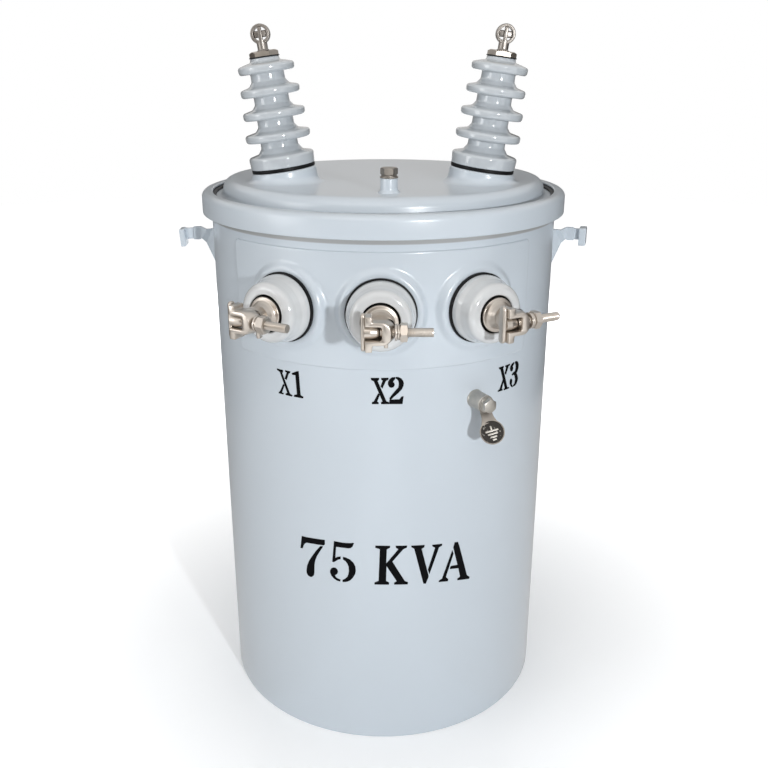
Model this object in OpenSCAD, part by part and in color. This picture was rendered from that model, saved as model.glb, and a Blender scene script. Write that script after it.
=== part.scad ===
// Pole mounted distribution transformer, single phase, with two cover bushings and three front terminals.
// Origin at the centre of the tank's foot, +Z up, low voltage terminals facing -Y. Millimetres.

/* [Tank] */
// outside diameter of the tank
tank_d = 540; // [480:1:620]
// height of the tank from its foot to its rim
tank_h = 833; // [760:1:950]
// thickness of the tank's sheet
tank_t = 3; // [2:0.5:6]
// width of the rim turned out at the top
rim_w = 9; // [6:0.5:14]
// thickness of that rim
rim_t = 4; // [3:0.5:6]
// height of the bottom plate above the foot
bottom_up = 16; // [8:1:30]
// thickness of the bottom plate
bottom_t = 4; // [3:0.5:8]

/* [Terminal plate] */
// half angle of the raised plate round the front terminals
panel_half = 51; // [46:0.5:58]
// height of the raised plate
panel_h = 166; // [140:1:180]
// thickness of the raised plate
panel_t = 2; // [1:0.5:4]
// radius of the flattened seat under a front terminal
seat_r = 58; // [54:0.5:62]
// how far a seat's face stands off the tank
seat_out = 6; // [4:0.5:9]

/* [Cover] */
// how far the cover's raised top stays inside the tank's outside
cover_in = 20; // [16:1:30]
// height of the cover's raised top above its rim
cover_rise = 25; // [20:1:40]
// radius of the shoulder round the raised top
cover_round = 16; // [10:1:18]
// thickness of the cover's sheet
cover_t = 3; // [2:0.5:4]
// thickness of each leg of the gasket that wraps the cover's rim
gasket_t = 4; // [3:0.5:6]
// how far the gasket reaches over the rim
gasket_w = 17; // [12:1:20]
// how far the gasket shows inside the band's lip
gasket_show = 5; // [2:0.5:7]

/* [Band] */
// thickness of the clamping band
band_t = 4; // [3:0.5:5]
// height of the clamping band
band_h = 33; // [30:1:45]
// rounding of the band's upper edge
band_round = 9; // [5:1:12]
// gap between the band's ends at the back
band_gap = 24; // [16:1:40]
// height of an ear at the band's end
ear_h = 24; // [20:1:30]
// reach of an ear beyond the band
ear_out = 26; // [22:1:34]
// thickness of an ear
ear_t = 6; // [5:0.5:8]
// radius of the bolt that closes the band
band_bolt_r = 5; // [4:0.5:6]
// gap between the band and the rim, and between its leg and the wall
band_clear = 1; // [0.5:0.5:2]

/* [Cover bolt] */
// sideways place of the boss on the cover
boss_x = 10; // [-40:1:40]
// distance of that boss from the edge of the raised top
boss_in = 54; // [40:1:80]
// radius of the boss
boss_r = 12; // [9:0.5:15]
// height of the boss
boss_h = 20; // [14:1:28]
// radius of the bolt in the boss
boss_bolt_r = 7; // [5:0.5:8]
// thickness of the washer on the boss
boss_washer_t = 4; // [1.5:0.5:6]
// height of the bolt's head
boss_head_t = 10; // [8:0.5:15]

/* [High voltage bushings] */
// distance of a bushing's foot from the side of the raised top
hv_in = 102; // [92:1:110]
// distance of the bushings in front of the centre
hv_y = 77; // [40:1:85]
// height of a turret's top above the cover, on the bushing's axis
hv_up = 18; // [15:1:28]
// outward lean of a bushing
hv_lean = 8; // [4:0.5:10]
// radius of a turret
hv_turret_r = 48.5; // [46:0.5:54]
// radius of the base flange
hv_flange_r = 48.5; // [46:0.5:51]
// thickness of the base flange
hv_flange_t = 17.5; // [14:0.5:24]
// thickness of the gasket under the flange
hv_gasket_t = 5; // [3:0.5:8]
// radius of the tail that passes the cover
hv_tail_r = 25; // [20:0.5:30]
// length of a bushing's tail inside the tank
tail_l = 30; // [20:1:50]
// number of sheds
hv_sheds = 4; // [3:1:5]
// spacing of the sheds
hv_pitch = 31.5; // [29:0.5:36]
// radius of the lowest shed
hv_shed_r = 48.2; // [44:0.2:52]
// how much each shed is smaller than the one below
hv_shed_step = 2.4; // [0:0.1:4]
// radius of the core at the flange
hv_core_r = 28; // [26:0.5:32]
// radius of the core under the nut
hv_top_r = 21; // [19:0.5:22]
// half the thickness of a shed's rim
hv_rim = 5.5; // [4:0.5:6.5]

/* [High voltage terminals] */
// thickness of the seal under the nut
seal_t = 1.5; // [1:0.5:3]
// distance over the corners of the nut
cap_d = 46; // [44:0.5:52]
// thickness of the nut
cap_t = 7.5; // [6:0.5:12]
// radius of the eye's stem
stem_r = 7.5; // [6:0.5:8.5]
// length of the stem between nut and eye
stem_l = 8.5; // [5:0.5:12]
// outside radius of the eye
eye_r = 14; // [12.5:0.5:16]
// radius of the eye's opening
eye_bore = 9.5; // [8:0.5:10]
// length of the eye along its opening
eye_l = 13; // [10:0.5:18]

/* [Low voltage bushings] */
// distance of the low voltage terminals below the rim
lv_drop = 118.5; // [112:0.5:140]
// angle between neighbouring terminals
lv_step = 29.25; // [28.5:0.25:32]
// radius of the gasket
lv_gasket_r = 49.5; // [48:0.5:52]
// thickness of the gasket
lv_gasket_t = 5; // [3:0.5:6]
// radius of the porcelain at its base
lv_base_r = 47.5; // [45:0.5:48]
// radius of the porcelain's front
lv_front_r = 42; // [39:0.5:44]
// length of the porcelain in front of its gasket
lv_len = 39; // [34:1:46]
// length of the wider base
lv_base_l = 13; // [10:1:16]
// rounding of the porcelain's front edge
lv_round = 9; // [5:1:11]
// radius of the tail that passes the wall
lv_tail_r = 30; // [26:1:33]
// radius of the recess in the face
lv_recess_r = 27; // [26:0.5:29]
// depth of the recess in the face
lv_recess = 6; // [4:0.5:8]

/* [Low voltage clamps] */
// radius of the stud's flange
stud_r = 23.5; // [22:0.5:25.5]
// radius of the clamp's neck
neck_r = 11; // [9:0.5:13]
// distance from the porcelain's face to the T-bolt
clamp_reach = 43; // [40:0.5:50]
// depth of the clamp's body along the terminal
clamp_w = 22; // [18:0.5:26]
// height of the clamp's body
clamp_h = 30; // [28:0.5:36]
// height of the opening in the body
clamp_open = 18.2; // [16:0.2:20]
// how far the opening reaches past the terminal's middle
clamp_past = 2.5; // [0:0.5:4]
// length of the body left of the terminal
clamp_left = 19; // [17:0.5:24]
// length of the body right of the terminal
clamp_right = 18.5; // [16:0.5:22]
// reach of the ears above and below the body
clamp_ear = 7; // [4:0.5:10]
// thickness of the ears
clamp_ear_t = 7; // [5:0.5:9]
// radius of the T-bolt's thread
tbolt_r = 6; // [5:0.5:7]
// length of the thread right of the terminal
tbolt_right = 67.5; // [62:0.5:76]
// height of the T-bolt's head
tbolt_head = 50; // [46:1:58]
// thickness of the T-bolt's head
tbolt_head_t = 5.5; // [4:0.5:8]
// distance over the corners of the nut
nut_d = 25.4; // [22:0.2:27]
// thickness of the nut
nut_t = 10; // [8:0.5:14]
// thickness of the spring washer
washer_t = 6.5; // [4:0.5:8]

/* [Ground terminal] */
// angle of the ground boss from the front
gnd_angle = 30; // [20:0.5:45]
// distance of the ground boss below the low voltage terminals
gnd_drop = 137.5; // [125:0.5:190]
// radius of the ground boss
gnd_r = 13; // [12:0.5:16]
// length of the ground boss
gnd_l = 27; // [20:1:34]
// radius of the ground bolt
gnd_bolt_r = 5; // [4:0.5:6]
// distance over the corners of the ground bolt's head
gnd_head_d = 18.5; // [16:0.5:21]
// thickness of that head
gnd_head_t = 8; // [6:0.5:10]
// radius of the round tag
tag_r = 17.5; // [15:0.5:20]
// thickness of the tag
tag_t = 1.6; // [1:0.2:3]
// how far the tag hangs below the boss
tag_drop = 42; // [36:1:48]
// outward lean of the tag
tag_lean = 36; // [25:1:45]

/* [Lifting lugs] */
// distance of a lug's upper edge below the rim
lug_drop = 49; // [40:1:70]
// reach of a lug from the tank
lug_out = 60; // [50:1:72]
// height of a lug where it meets the tank
lug_h = 59; // [50:1:66]
// height of the strip that carries the lug's end
lug_strip = 22.5; // [18:0.5:26]
// thickness of the lug's plate
lug_t = 6; // [5:0.5:8]
// height of the lug's turned end
lug_end_h = 32; // [28:1:38]
// width of the lug's turned end
lug_end_w = 26; // [20:1:34]

/* [Pole brackets] */
// spacing of the pole bolts
pole_pitch = 590.55; // [560:0.05:600]
// height of the middle between the pole bolts, as a share of the tank's
pole_mid = 0.5033; // [0.48:0.005:0.52]
// distance of a bracket's face behind the tank
pole_out = 54; // [40:1:70]
// width of a bracket
bracket_w = 110; // [96:1:130]
// height of a bracket
bracket_h = 120; // [100:1:135]
// thickness of a bracket's plate
bracket_t = 6; // [5:0.5:10]
// width of a bolt slot
slot_w = 21; // [19:0.5:24]
// length of a bolt slot
slot_l = 44; // [36:1:52]

/* [Hidden] */
$fn = 96;
tank_r = tank_d / 2;
cover_r = tank_r - cover_in;
hv_x = cover_r - hv_in;
boss_y = cover_r - boss_in;
lv_z = tank_h - lv_drop;
gnd_z = lv_z - gnd_drop;
lug_z = tank_h - lug_drop;
pole_face = tank_r + pole_out;
pole_z = tank_h * pole_mid - pole_pitch / 2;
rim_r = tank_r + rim_w;
gasket_r = rim_r;
flange_r = rim_r - gasket_t;
flange_z = tank_h + gasket_t;
flange_top = flange_z + cover_t;
cover_top = flange_top + cover_rise;
lip_z = flange_top + gasket_t;
band_top = lip_z + band_t;
band_z = band_top - band_h;
band_in = rim_r + band_clear;
band_r = band_in + band_t;
lip_in = gasket_r - gasket_w + gasket_show;
ear_y = band_r - ear_t;
ear_z = band_top - band_h / 2;
bolt_y = ear_y + ear_out - 2 * band_bolt_r;
panel_r = tank_r + panel_t;
seat_face = tank_r + seat_out;
lv_gasket_out = seat_face + lv_gasket_t;
lv_face = lv_gasket_out + lv_len;
stud_top = lv_face + 2;
step_top = stud_top + 6;
bolt_out = lv_face + clamp_reach;
body_in = bolt_out - clamp_w / 2;
hv_z = cover_top + hv_up;
hv_top = hv_gasket_t + hv_flange_t + 10 + hv_sheds * hv_pitch;
cap_z = hv_top + seal_t;
eye_z = cap_z + cap_t + stem_l + eye_r;
gnd_end = tank_r + gnd_l;

// children placed with +Z along the tank's radius at an angle from the front, at a height; +X is to the right
module on_wall(angle, z) {
  rotate([0, 0, angle]) translate([0, 0, z]) rotate([90, 0, 0]) children();
}

// children placed on the axis of a high voltage bushing, side -1 left and 1 right
module on_bushing(side) {
  translate([side * hv_x, -hv_y, hv_z]) rotate([0, side * hv_lean, 0]) children();
}

// a round bar from one height to another
module rod(r, z0, z1) {
  translate([0, 0, z0]) cylinder(r = r, h = z1 - z0);
}

// a flat ring from one height to another
module ring(r, bore, z0, z1) {
  difference() {
    rod(r, z0, z1);
    rod(bore, z0 - 1, z1 + 1);
  }
}

// a hexagon across its corners
module hexagon(d, z0, z1) {
  translate([0, 0, z0]) cylinder(d = d, h = z1 - z0, $fn = 6);
}

// the tank's outside, used to fit welded parts to it
module tank_form() {
  translate([0, 0, -10]) cylinder(r = tank_r, h = tank_h - rim_t + 10, $fn = 360);
}

// rolled wall with the rim turned out and a hole for each low voltage bushing
module tank_wall() {
  color("#c9d2da") difference() {
    union() {
      rod(tank_r, 0, tank_h);
      rod(rim_r, tank_h - rim_t, tank_h);
    }
    rod(tank_r - tank_t, -1, tank_h + 1);
    for (i = [-1:1]) on_wall(i * lv_step, lv_z) rod(lv_tail_r, tank_r - tail_l, seat_face);
  }
}

// bottom plate set up inside the foot
module tank_bottom() {
  color("#c9d2da") rod(tank_r - tank_t, bottom_up, bottom_up + bottom_t);
}

// part of a ring standing between two heights, half to each side of the front
module sector(r, half, z0, z1) {
  translate([0, 0, z0]) rotate([0, 0, -90 - half]) rotate_extrude(angle = 2 * half) square([r, z1 - z0]);
}

// raised plate with a hole for each low voltage bushing
module bushing_panel() {
  $fn = 480;
  color("#c9d2da") difference() {
    sector(panel_r, panel_half, lv_z - panel_h / 2, lv_z + panel_h / 2);
    rod(tank_r, 0, tank_h);
    for (i = [-1:1]) on_wall(i * lv_step, lv_z) rod(lv_tail_r, tank_r - tail_l, seat_face);
  }
}

// flattened seat on the raised plate under a low voltage bushing
module lv_seat(i) {
  $fn = 240;
  color("#c9d2da") difference() {
    on_wall(i * lv_step, lv_z) ring(seat_r, lv_tail_r, tank_r - tail_l, seat_face);
    rod(panel_r, 0, tank_h);
  }
}

// half section of the cover's form, drawn in by a sheet's thickness for the inside
module cover_form(t) {
  r = cover_r - t;
  top = cover_top - t;
  round = cover_round - t;
  translate([0, flange_z - 1]) square([r, top - round - flange_z + 1]);
  translate([0, flange_z - 1]) square([r - round, top - flange_z + 1]);
  translate([r - round, top - round]) circle(r = round);
}

// pressed cover with a turret and a hole for each high voltage bushing
module cover() {
  color("#cdd5dc") difference() {
    union() {
      rotate_extrude() difference() {
        union() {
          intersection() {
            cover_form(0);
            translate([0, flange_z]) square([cover_r + 5, cover_rise + 20]);
          }
          translate([0, flange_z]) square([flange_r, cover_t]);
        }
        intersection() {
          cover_form(cover_t);
          translate([0, flange_z - 5]) square([cover_r + 5, cover_rise + 20]);
        }
      }
      for (s = [-1, 1]) intersection() {
        on_bushing(s) rod(hv_turret_r, -hv_turret_r, 0);
        rod(tank_r, cover_top - cover_t, cover_top + hv_turret_r);
      }
    }
    for (s = [-1, 1]) on_bushing(s) {
      rod(hv_turret_r - cover_t, -hv_turret_r, -cover_t);
      rod(hv_tail_r, -hv_turret_r, cover_t);
    }
  }
}

// gasket wrapped round the cover's rim
module cover_gasket() {
  color("#1b1c1e") difference() {
    ring(gasket_r, gasket_r - gasket_w, tank_h, lip_z);
    rod(flange_r, flange_z, flange_top);
  }
}

// half section of the clamping band: rolled lip, wall and a leg under the tank's rim
module band_form() {
  difference() {
    union() {
      translate([lip_in, lip_z]) square([band_r - band_round - lip_in, band_t]);
      translate([band_in, band_z]) square([band_t, band_h - band_round]);
      translate([tank_r + band_clear, tank_h - rim_t - band_t])
        square([rim_w + band_clear, band_t]);
      intersection() {
        translate([band_r - band_round, band_top - band_round]) circle(r = band_round);
        translate([band_r - band_round, band_top - band_round]) square(band_round);
      }
    }
    translate([0, tank_h - rim_t]) square([rim_r, lip_z - tank_h + rim_t]);
  }
}

// clamping band open at the back, with an ear on each end
module cover_band() {
  color("#cdd5dc") difference() {
    union() {
      difference() {
        rotate_extrude() band_form();
        translate([-band_gap / 2, 0, band_z - 1]) cube([band_gap, tank_d, band_h + 2]);
      }
      for (s = [-1, 1]) translate([s * (band_gap + ear_t) / 2 - ear_t / 2, ear_y, ear_z - ear_h / 2])
        cube([ear_t, ear_out, ear_h]);
    }
    translate([0, bolt_y, ear_z]) rotate([0, 90, 0]) rod(band_bolt_r, -band_gap, band_gap);
  }
}

// bolt and nut that close the band
module band_bolt() {
  out = band_gap / 2 + ear_t;
  head = 3.8 * band_bolt_r;
  color("#8f9296") translate([0, bolt_y, ear_z]) rotate([0, 90, 0]) {
    rod(band_bolt_r, -out, out + 4 * band_bolt_r);
    hexagon(head, -out - 1.4 * band_bolt_r, -out);
    hexagon(head, out, out + 1.6 * band_bolt_r);
  }
}

// round boss welded on the cover
module cover_boss() {
  color("#cdd5dc") translate([boss_x, -boss_y, 0]) ring(boss_r, boss_bolt_r, cover_top, cover_top + boss_h);
}

// washer and hexagon bolt in the boss
module cover_bolt() {
  z = cover_top + boss_h;
  color("#8d8780") translate([boss_x, -boss_y, 0]) {
    rod(boss_r + 0.6, z, z + boss_washer_t);
    rod(boss_bolt_r, cover_top, z + boss_washer_t);
    hexagon(3.5 * boss_bolt_r, z + boss_washer_t, z + boss_washer_t + boss_head_t);
  }
}

// gasket between a turret and a bushing
module hv_gasket(side) {
  color("#1b1c1e") on_bushing(side) ring(hv_flange_r - 2.5, hv_tail_r, 0, hv_gasket_t);
}

// radius of the core at a height above the flange
function hv_core(z) = hv_core_r - (hv_core_r - hv_top_r) * z / (hv_top - hv_gasket_t - hv_flange_t) * 0.62;

// half section of the porcelain: tail, base flange, tapered core and sheds
module hv_form() {
  z0 = hv_gasket_t + hv_flange_t;
  translate([0, -tail_l]) square([hv_tail_r, tail_l + hv_gasket_t + 1]);
  translate([0, hv_gasket_t]) square([hv_flange_r, hv_flange_t - 4]);
  translate([0, hv_gasket_t]) square([hv_flange_r - 4, hv_flange_t]);
  translate([hv_flange_r - 4, z0 - 4]) circle(r = 4);
  polygon([[0, z0 - 1], [hv_flange_r - 5, z0 - 1], [hv_flange_r - 5, z0], [hv_core_r + 5, z0 + 4],
    [hv_core_r, z0 + 9], [hv_core(hv_sheds * hv_pitch), hv_top - 12], [hv_top_r, hv_top - 10],
    [hv_top_r, hv_top], [0, hv_top]]);
  for (i = [0:hv_sheds - 1]) {
    z = z0 + (i + 0.83) * hv_pitch;
    r = hv_shed_r - i * hv_shed_step;
    core = hv_core(z - z0);
    translate([r - hv_rim, z]) circle(r = hv_rim);
    polygon([[0, z - hv_rim + 2], [core, z - hv_rim + 2], [r - hv_rim, z - hv_rim], [r - hv_rim, z + hv_rim],
      [core + 5, z + hv_rim + 4], [core, z + hv_rim + 8], [0, z + hv_rim + 8]]);
  }
}

// tall porcelain bushing
module hv_bushing(side) {
  color("#c6ccd1") on_bushing(side) rotate_extrude() hv_form();
}

// seal between porcelain and nut
module hv_seal(side) {
  color("#1b1c1e") on_bushing(side) rod(hv_top_r - 0.5, hv_top, cap_z);
}

// thin hexagon nut on top of a bushing
module hv_nut(side) {
  color("#b3aca4") on_bushing(side) hexagon(cap_d, cap_z, cap_z + cap_t);
}

// stem and eye that take the line
module hv_eye(side) {
  color("#b3aca4") on_bushing(side) difference() {
    union() {
      rod(stem_r, cap_z + cap_t, eye_z);
      translate([0, 0, eye_z]) rotate([90, 0, 0]) rod(eye_r, -eye_l / 2, eye_l / 2);
    }
    translate([0, 0, eye_z]) rotate([90, 0, 0]) rod(eye_bore, -eye_l, eye_l);
  }
}

// keeper bar and block inside the eye
module hv_keeper(side) {
  color("#b3aca4") on_bushing(side) translate([0, 0, eye_z]) intersection() {
    rotate([90, 0, 0]) rod(eye_bore, -eye_l, eye_l);
    union() {
      translate([-2.5, -eye_l / 2, -eye_bore]) cube([5, 4, 2 * eye_bore]);
      translate([-eye_bore, -eye_l / 2 + 4, -5]) cube([2 * eye_bore, 5, 10]);
    }
  }
}

// gasket between a seat and a low voltage bushing
module lv_gasket(i) {
  color("#1b1c1e") on_wall(i * lv_step, lv_z) ring(lv_gasket_r, lv_tail_r, seat_face, lv_gasket_out);
}

// half section of the short porcelain: tail, wide base, rounded front with a recess
module lv_form() {
  difference() {
    union() {
      translate([0, tank_r - tail_l]) square([lv_tail_r, tail_l + lv_gasket_out - tank_r + 1]);
      translate([0, lv_gasket_out]) square([lv_base_r, lv_base_l - 3]);
      translate([0, lv_gasket_out]) square([lv_base_r - 3, lv_base_l]);
      translate([lv_base_r - 3, lv_gasket_out + lv_base_l - 3]) circle(r = 3);
      translate([0, lv_gasket_out]) square([lv_front_r, lv_len - lv_round]);
      translate([0, lv_gasket_out]) square([lv_front_r - lv_round, lv_len]);
      translate([lv_front_r - lv_round, lv_face - lv_round]) circle(r = lv_round);
    }
    translate([0, lv_face - lv_recess]) square([lv_recess_r, lv_recess + 1]);
  }
}

// short porcelain bushing
module lv_bushing(i) {
  color("#d3d6d8") on_wall(i * lv_step, lv_z) rotate_extrude() lv_form();
}

// stud flange, neck and U-shaped body with ears, bored for the T-bolt
module lv_clamp(i) {
  h = clamp_h / 2;
  color("#bdb3a8") on_wall(i * lv_step, lv_z) {
    rod(stud_r, lv_face - lv_recess, stud_top);
    rod(stud_r - 7, stud_top - 1, step_top);
    rod(neck_r, step_top - 1, body_in + 1);
    translate([4.5, -h - 6, step_top]) cube([5.5, h, 7]);
    difference() {
      translate([0, 0, body_in]) linear_extrude(clamp_w) difference() {
        union() {
          translate([-clamp_left, -h]) square([clamp_left + clamp_right - h, clamp_h]);
          translate([clamp_right - h, 0]) circle(r = h);
          translate([-clamp_left, -h - clamp_ear]) square([clamp_ear_t, clamp_h + 2 * clamp_ear]);
        }
        translate([-clamp_left - 1, -clamp_open / 2]) square([clamp_left + 1 + clamp_past, clamp_open]);
      }
      translate([0, 0, bolt_out]) rotate([0, 90, 0]) rod(tbolt_r, clamp_past - 1, clamp_right + 1);
    }
  }
}

// T-headed bolt through the body
module lv_tbolt(i) {
  color("#bdb3a8") on_wall(i * lv_step, lv_z) translate([0, 0, bolt_out]) {
    translate([-clamp_left - tbolt_head_t, -tbolt_head / 2, -5]) cube([tbolt_head_t, tbolt_head, 10]);
    rotate([0, 90, 0]) {
      rod(clamp_open / 2 - 1, -clamp_left - 1, -4);
      rod(tbolt_r, -5, tbolt_right);
    }
  }
}

// spring washer and hexagon nut on the T-bolt
module lv_nut(i) {
  color("#a59b91") on_wall(i * lv_step, lv_z) translate([0, 0, bolt_out]) rotate([0, 90, 0]) difference() {
    union() {
      rod(10, clamp_right, clamp_right + washer_t);
      hexagon(nut_d, clamp_right + washer_t, clamp_right + washer_t + nut_t);
    }
    rod(tbolt_r, 0, tbolt_right);
  }
}

// round steel boss welded to the wall
module ground_boss() {
  color("#9b9891") difference() {
    on_wall(gnd_angle, gnd_z) ring(gnd_r, gnd_bolt_r, tank_r - 10, gnd_end);
    tank_form();
  }
}

// washer and hexagon bolt that hold the tag
module ground_bolt() {
  color("#9b9891") on_wall(gnd_angle, gnd_z) {
    z = gnd_end + tag_t;
    rod(gnd_bolt_r, tank_r + 4, z + 2);
    rod(gnd_r - 1.5, z, z + 2);
    hexagon(gnd_head_d, z + 2, z + 2 + gnd_head_t);
  }
}

// bent strap with a round tag
module ground_tag() {
  bend = gnd_r - 1;
  reach = tag_drop - bend;
  color("#8a8680") on_wall(gnd_angle, gnd_z) translate([0, 0, gnd_end]) {
    difference() {
      union() {
        rod(gnd_r - 1, 0, tag_t);
        translate([-8, -bend, 0]) cube([16, bend, tag_t]);
      }
      rod(gnd_bolt_r, -1, tag_t + 1);
    }
    translate([-8, -bend, tag_t / 2]) rotate([0, 90, 0]) rod(tag_t / 2 + 0.2, 0, 16);
    translate([0, -bend, tag_t / 2]) rotate([-tag_lean, 0, 0]) translate([0, 0, -tag_t / 2]) {
      translate([-8, -reach, 0]) cube([16, reach, tag_t]);
      translate([0, -reach, 0]) rod(tag_r, 0, tag_t);
    }
  }
}

// bent plate welded to the wall, with a notch below and a turned end
module lug_right() {
  out = tank_r + lug_out;
  color("#bfc7ce") difference() {
    union() {
      translate([0, lug_t / 2, lug_z]) rotate([90, 0, 0]) linear_extrude(lug_t)
        polygon([[tank_r - 4, 0], [out, 0], [out, -lug_strip], [tank_r + lug_out * 0.47, -lug_strip],
          [tank_r + lug_out * 0.38, -lug_strip * 1.2], [tank_r + lug_out * 0.15, -lug_h],
          [tank_r - 4, -lug_h]]);
      translate([out - lug_t, -lug_end_w / 2, lug_z - lug_end_h]) cube([lug_t, lug_end_w, lug_end_h]);
    }
    tank_form();
  }
}

module lifting_lug_l() {
  mirror([1, 0, 0]) lug_right();
}

module lifting_lug_r() {
  lug_right();
}

// bracket behind the tank: face with a bolt slot between two side plates
module hanger(z) {
  color("#c9d2da") difference() {
    translate([-bracket_w / 2, 0, z - bracket_h / 2]) cube([bracket_w, pole_face, bracket_h]);
    translate([-bracket_w / 2 + bracket_t, 0, z - bracket_h])
      cube([bracket_w - 2 * bracket_t, pole_face - bracket_t, 2 * bracket_h]);
    tank_form();
    for (s = [-1, 1]) translate([0, 0, z + s * (slot_l - slot_w) / 2]) rotate([-90, 0, 0])
      rod(slot_w / 2, tank_r, pole_face + 1);
    translate([-slot_w / 2, tank_r + 1, z - (slot_l - slot_w) / 2]) cube([slot_w, tank_d, slot_l - slot_w]);
  }
}

module hanger_upper() {
  hanger(pole_z + pole_pitch);
}

module hanger_lower() {
  hanger(pole_z);
}

tank_wall();
tank_bottom();
bushing_panel();
cover();
cover_gasket();
cover_band();
band_bolt();
cover_boss();
cover_bolt();
hv_gasket(-1);  // hv_gasket_l
hv_gasket(1);  // hv_gasket_r
hv_bushing(-1);  // hv_bushing_l
hv_bushing(1);  // hv_bushing_r
hv_seal(-1);  // hv_seal_l
hv_seal(1);  // hv_seal_r
hv_nut(-1);  // hv_nut_l
hv_nut(1);  // hv_nut_r
hv_eye(-1);  // hv_eye_l
hv_eye(1);  // hv_eye_r
hv_keeper(-1);  // hv_keeper_l
hv_keeper(1);  // hv_keeper_r
lv_seat(-1);  // lv_seat_1
lv_seat(0);  // lv_seat_2
lv_seat(1);  // lv_seat_3
lv_gasket(-1);  // lv_gasket_1
lv_gasket(0);  // lv_gasket_2
lv_gasket(1);  // lv_gasket_3
lv_bushing(-1);  // lv_bushing_1
lv_bushing(0);  // lv_bushing_2
lv_bushing(1);  // lv_bushing_3
lv_clamp(-1);  // lv_clamp_1
lv_clamp(0);  // lv_clamp_2
lv_clamp(1);  // lv_clamp_3
lv_tbolt(-1);  // lv_tbolt_1
lv_tbolt(0);  // lv_tbolt_2
lv_tbolt(1);  // lv_tbolt_3
lv_nut(-1);  // lv_nut_1
lv_nut(0);  // lv_nut_2
lv_nut(1);  // lv_nut_3
ground_boss();
ground_bolt();
ground_tag();
lifting_lug_l();
lifting_lug_r();
hanger_upper();
hanger_lower();
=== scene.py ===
import math
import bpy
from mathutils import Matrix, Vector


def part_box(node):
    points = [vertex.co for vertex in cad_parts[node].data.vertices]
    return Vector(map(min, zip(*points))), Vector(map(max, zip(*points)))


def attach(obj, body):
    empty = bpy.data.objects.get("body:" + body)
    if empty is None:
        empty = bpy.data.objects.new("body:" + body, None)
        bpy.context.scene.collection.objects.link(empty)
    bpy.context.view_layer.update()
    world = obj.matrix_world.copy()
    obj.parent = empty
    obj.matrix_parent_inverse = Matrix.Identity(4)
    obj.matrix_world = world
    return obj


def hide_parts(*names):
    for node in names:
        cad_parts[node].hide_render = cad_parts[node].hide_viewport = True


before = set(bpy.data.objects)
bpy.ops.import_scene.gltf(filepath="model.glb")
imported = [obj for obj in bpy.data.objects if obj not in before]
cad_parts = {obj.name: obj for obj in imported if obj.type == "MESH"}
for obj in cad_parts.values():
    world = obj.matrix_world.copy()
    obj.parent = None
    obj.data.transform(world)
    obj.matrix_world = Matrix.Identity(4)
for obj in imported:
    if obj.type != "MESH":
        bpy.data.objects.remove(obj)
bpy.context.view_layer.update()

from types import SimpleNamespace

import bmesh
import bpy
from mathutils import Matrix, Vector

bl_info = {
    "name": "Pole Mounted Transformer",
    "version": (1, 0, 0),
    "blender": (4, 5, 0),
    "location": "View3D > Sidebar > Transformer",
    "description": "Dresses the solids of a pole mounted transformer with formed sheet, porcelain and cast metal",
    "category": "Object",
}

# Every shape below is drawn in millimetres in the frame of the solids and scaled once, when it becomes an object.
MM = 0.001


def cad(node):
    """Lowest corner, highest corner and centre of a solid, in millimetres."""
    low, high = (Vector(corner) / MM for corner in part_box(node))
    return low, high, (low + high) / 2


SIDES = {"l": -1, "r": 1}
TERMINALS = ("1", "2", "3")
SHEET = 3.0  # thickness of the tank's and the cover's sheet
PLATE = 6.0  # thickness of the band's ears, the lugs and the pole brackets
TANK_IN = cad("tank_bottom")[1].x
TANK_R = TANK_IN + SHEET
ROUND = 288  # steps round the tank, the cover and the band
ALONG_X = Matrix.Rotation(math.pi / 2, 4, "Y")
ALONG_Y = Matrix.Rotation(math.pi / 2, 4, "X")


def length(name, description, millimetres):
    """A length property whose default is given in millimetres."""
    return bpy.props.FloatProperty(name=name, description=description, default=millimetres * MM, min=0, unit="LENGTH")


def linear(hex_colour):
    """Linear RGBA of an sRGB hex colour."""
    channels = [int(hex_colour[i:i + 2], 16) / 255 for i in (1, 3, 5)]
    return tuple(c / 12.92 if c <= 0.04045 else ((c + 0.055) / 1.055) ** 2.4 for c in channels) + (1.0,)


def colour(name, description, hex_colour):
    """A colour property whose default is given as an sRGB hex value."""
    return bpy.props.FloatVectorProperty(name=name, description=description, default=linear(hex_colour), size=4,
                                         min=0, max=1, subtype="COLOR")


class TRANSFORMER_PG_sizes(bpy.types.PropertyGroup):
    """Sizes that the solids leave open."""

    foot_round: length("Foot rounding", "Rounding of the tank's cut lower edge", 1.2)
    plate_corner: length("Plate corner", "Corner radius of the raised plate round the front terminals", 9)
    plate_edge: length("Plate edge", "Width of the soft edge of the raised plate", 2.6)
    seat_flat: length("Seat flat", "Radius of the flat part of a terminal's seat", 53)
    seat_soft: length("Seat foot", "Radius at which a seat runs out into the plate", 65)
    cover_shoulder: length("Cover shoulder", "Radius of the shoulder round the cover's raised top", 15)
    cover_foot: length("Cover foot", "Hollow between the cover's wall and its rim", 6)
    turret_foot: length("Turret foot", "Hollow at a turret's foot", 13)
    turret_edge: length("Turret edge", "Rounding of a turret's upper edge", 3)
    band_edge: length("Band edge", "Rounding of the clamping band's upper edge", 9)
    shed_rim: length("Shed rim", "Rounding of a shed's rim", 4.2)
    thread_pitch: length("Thread pitch", "Pitch of the thread on a T-bolt", 1.75)
    thread_depth: length("Thread depth", "Depth of the thread on a T-bolt", 0.5)
    plate_bend: length("Bend radius", "Outside radius of the bends in the pole brackets", 10)
    ink: length("Ink thickness", "How far the painted marks stand off the tank", 0.2)


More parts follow.
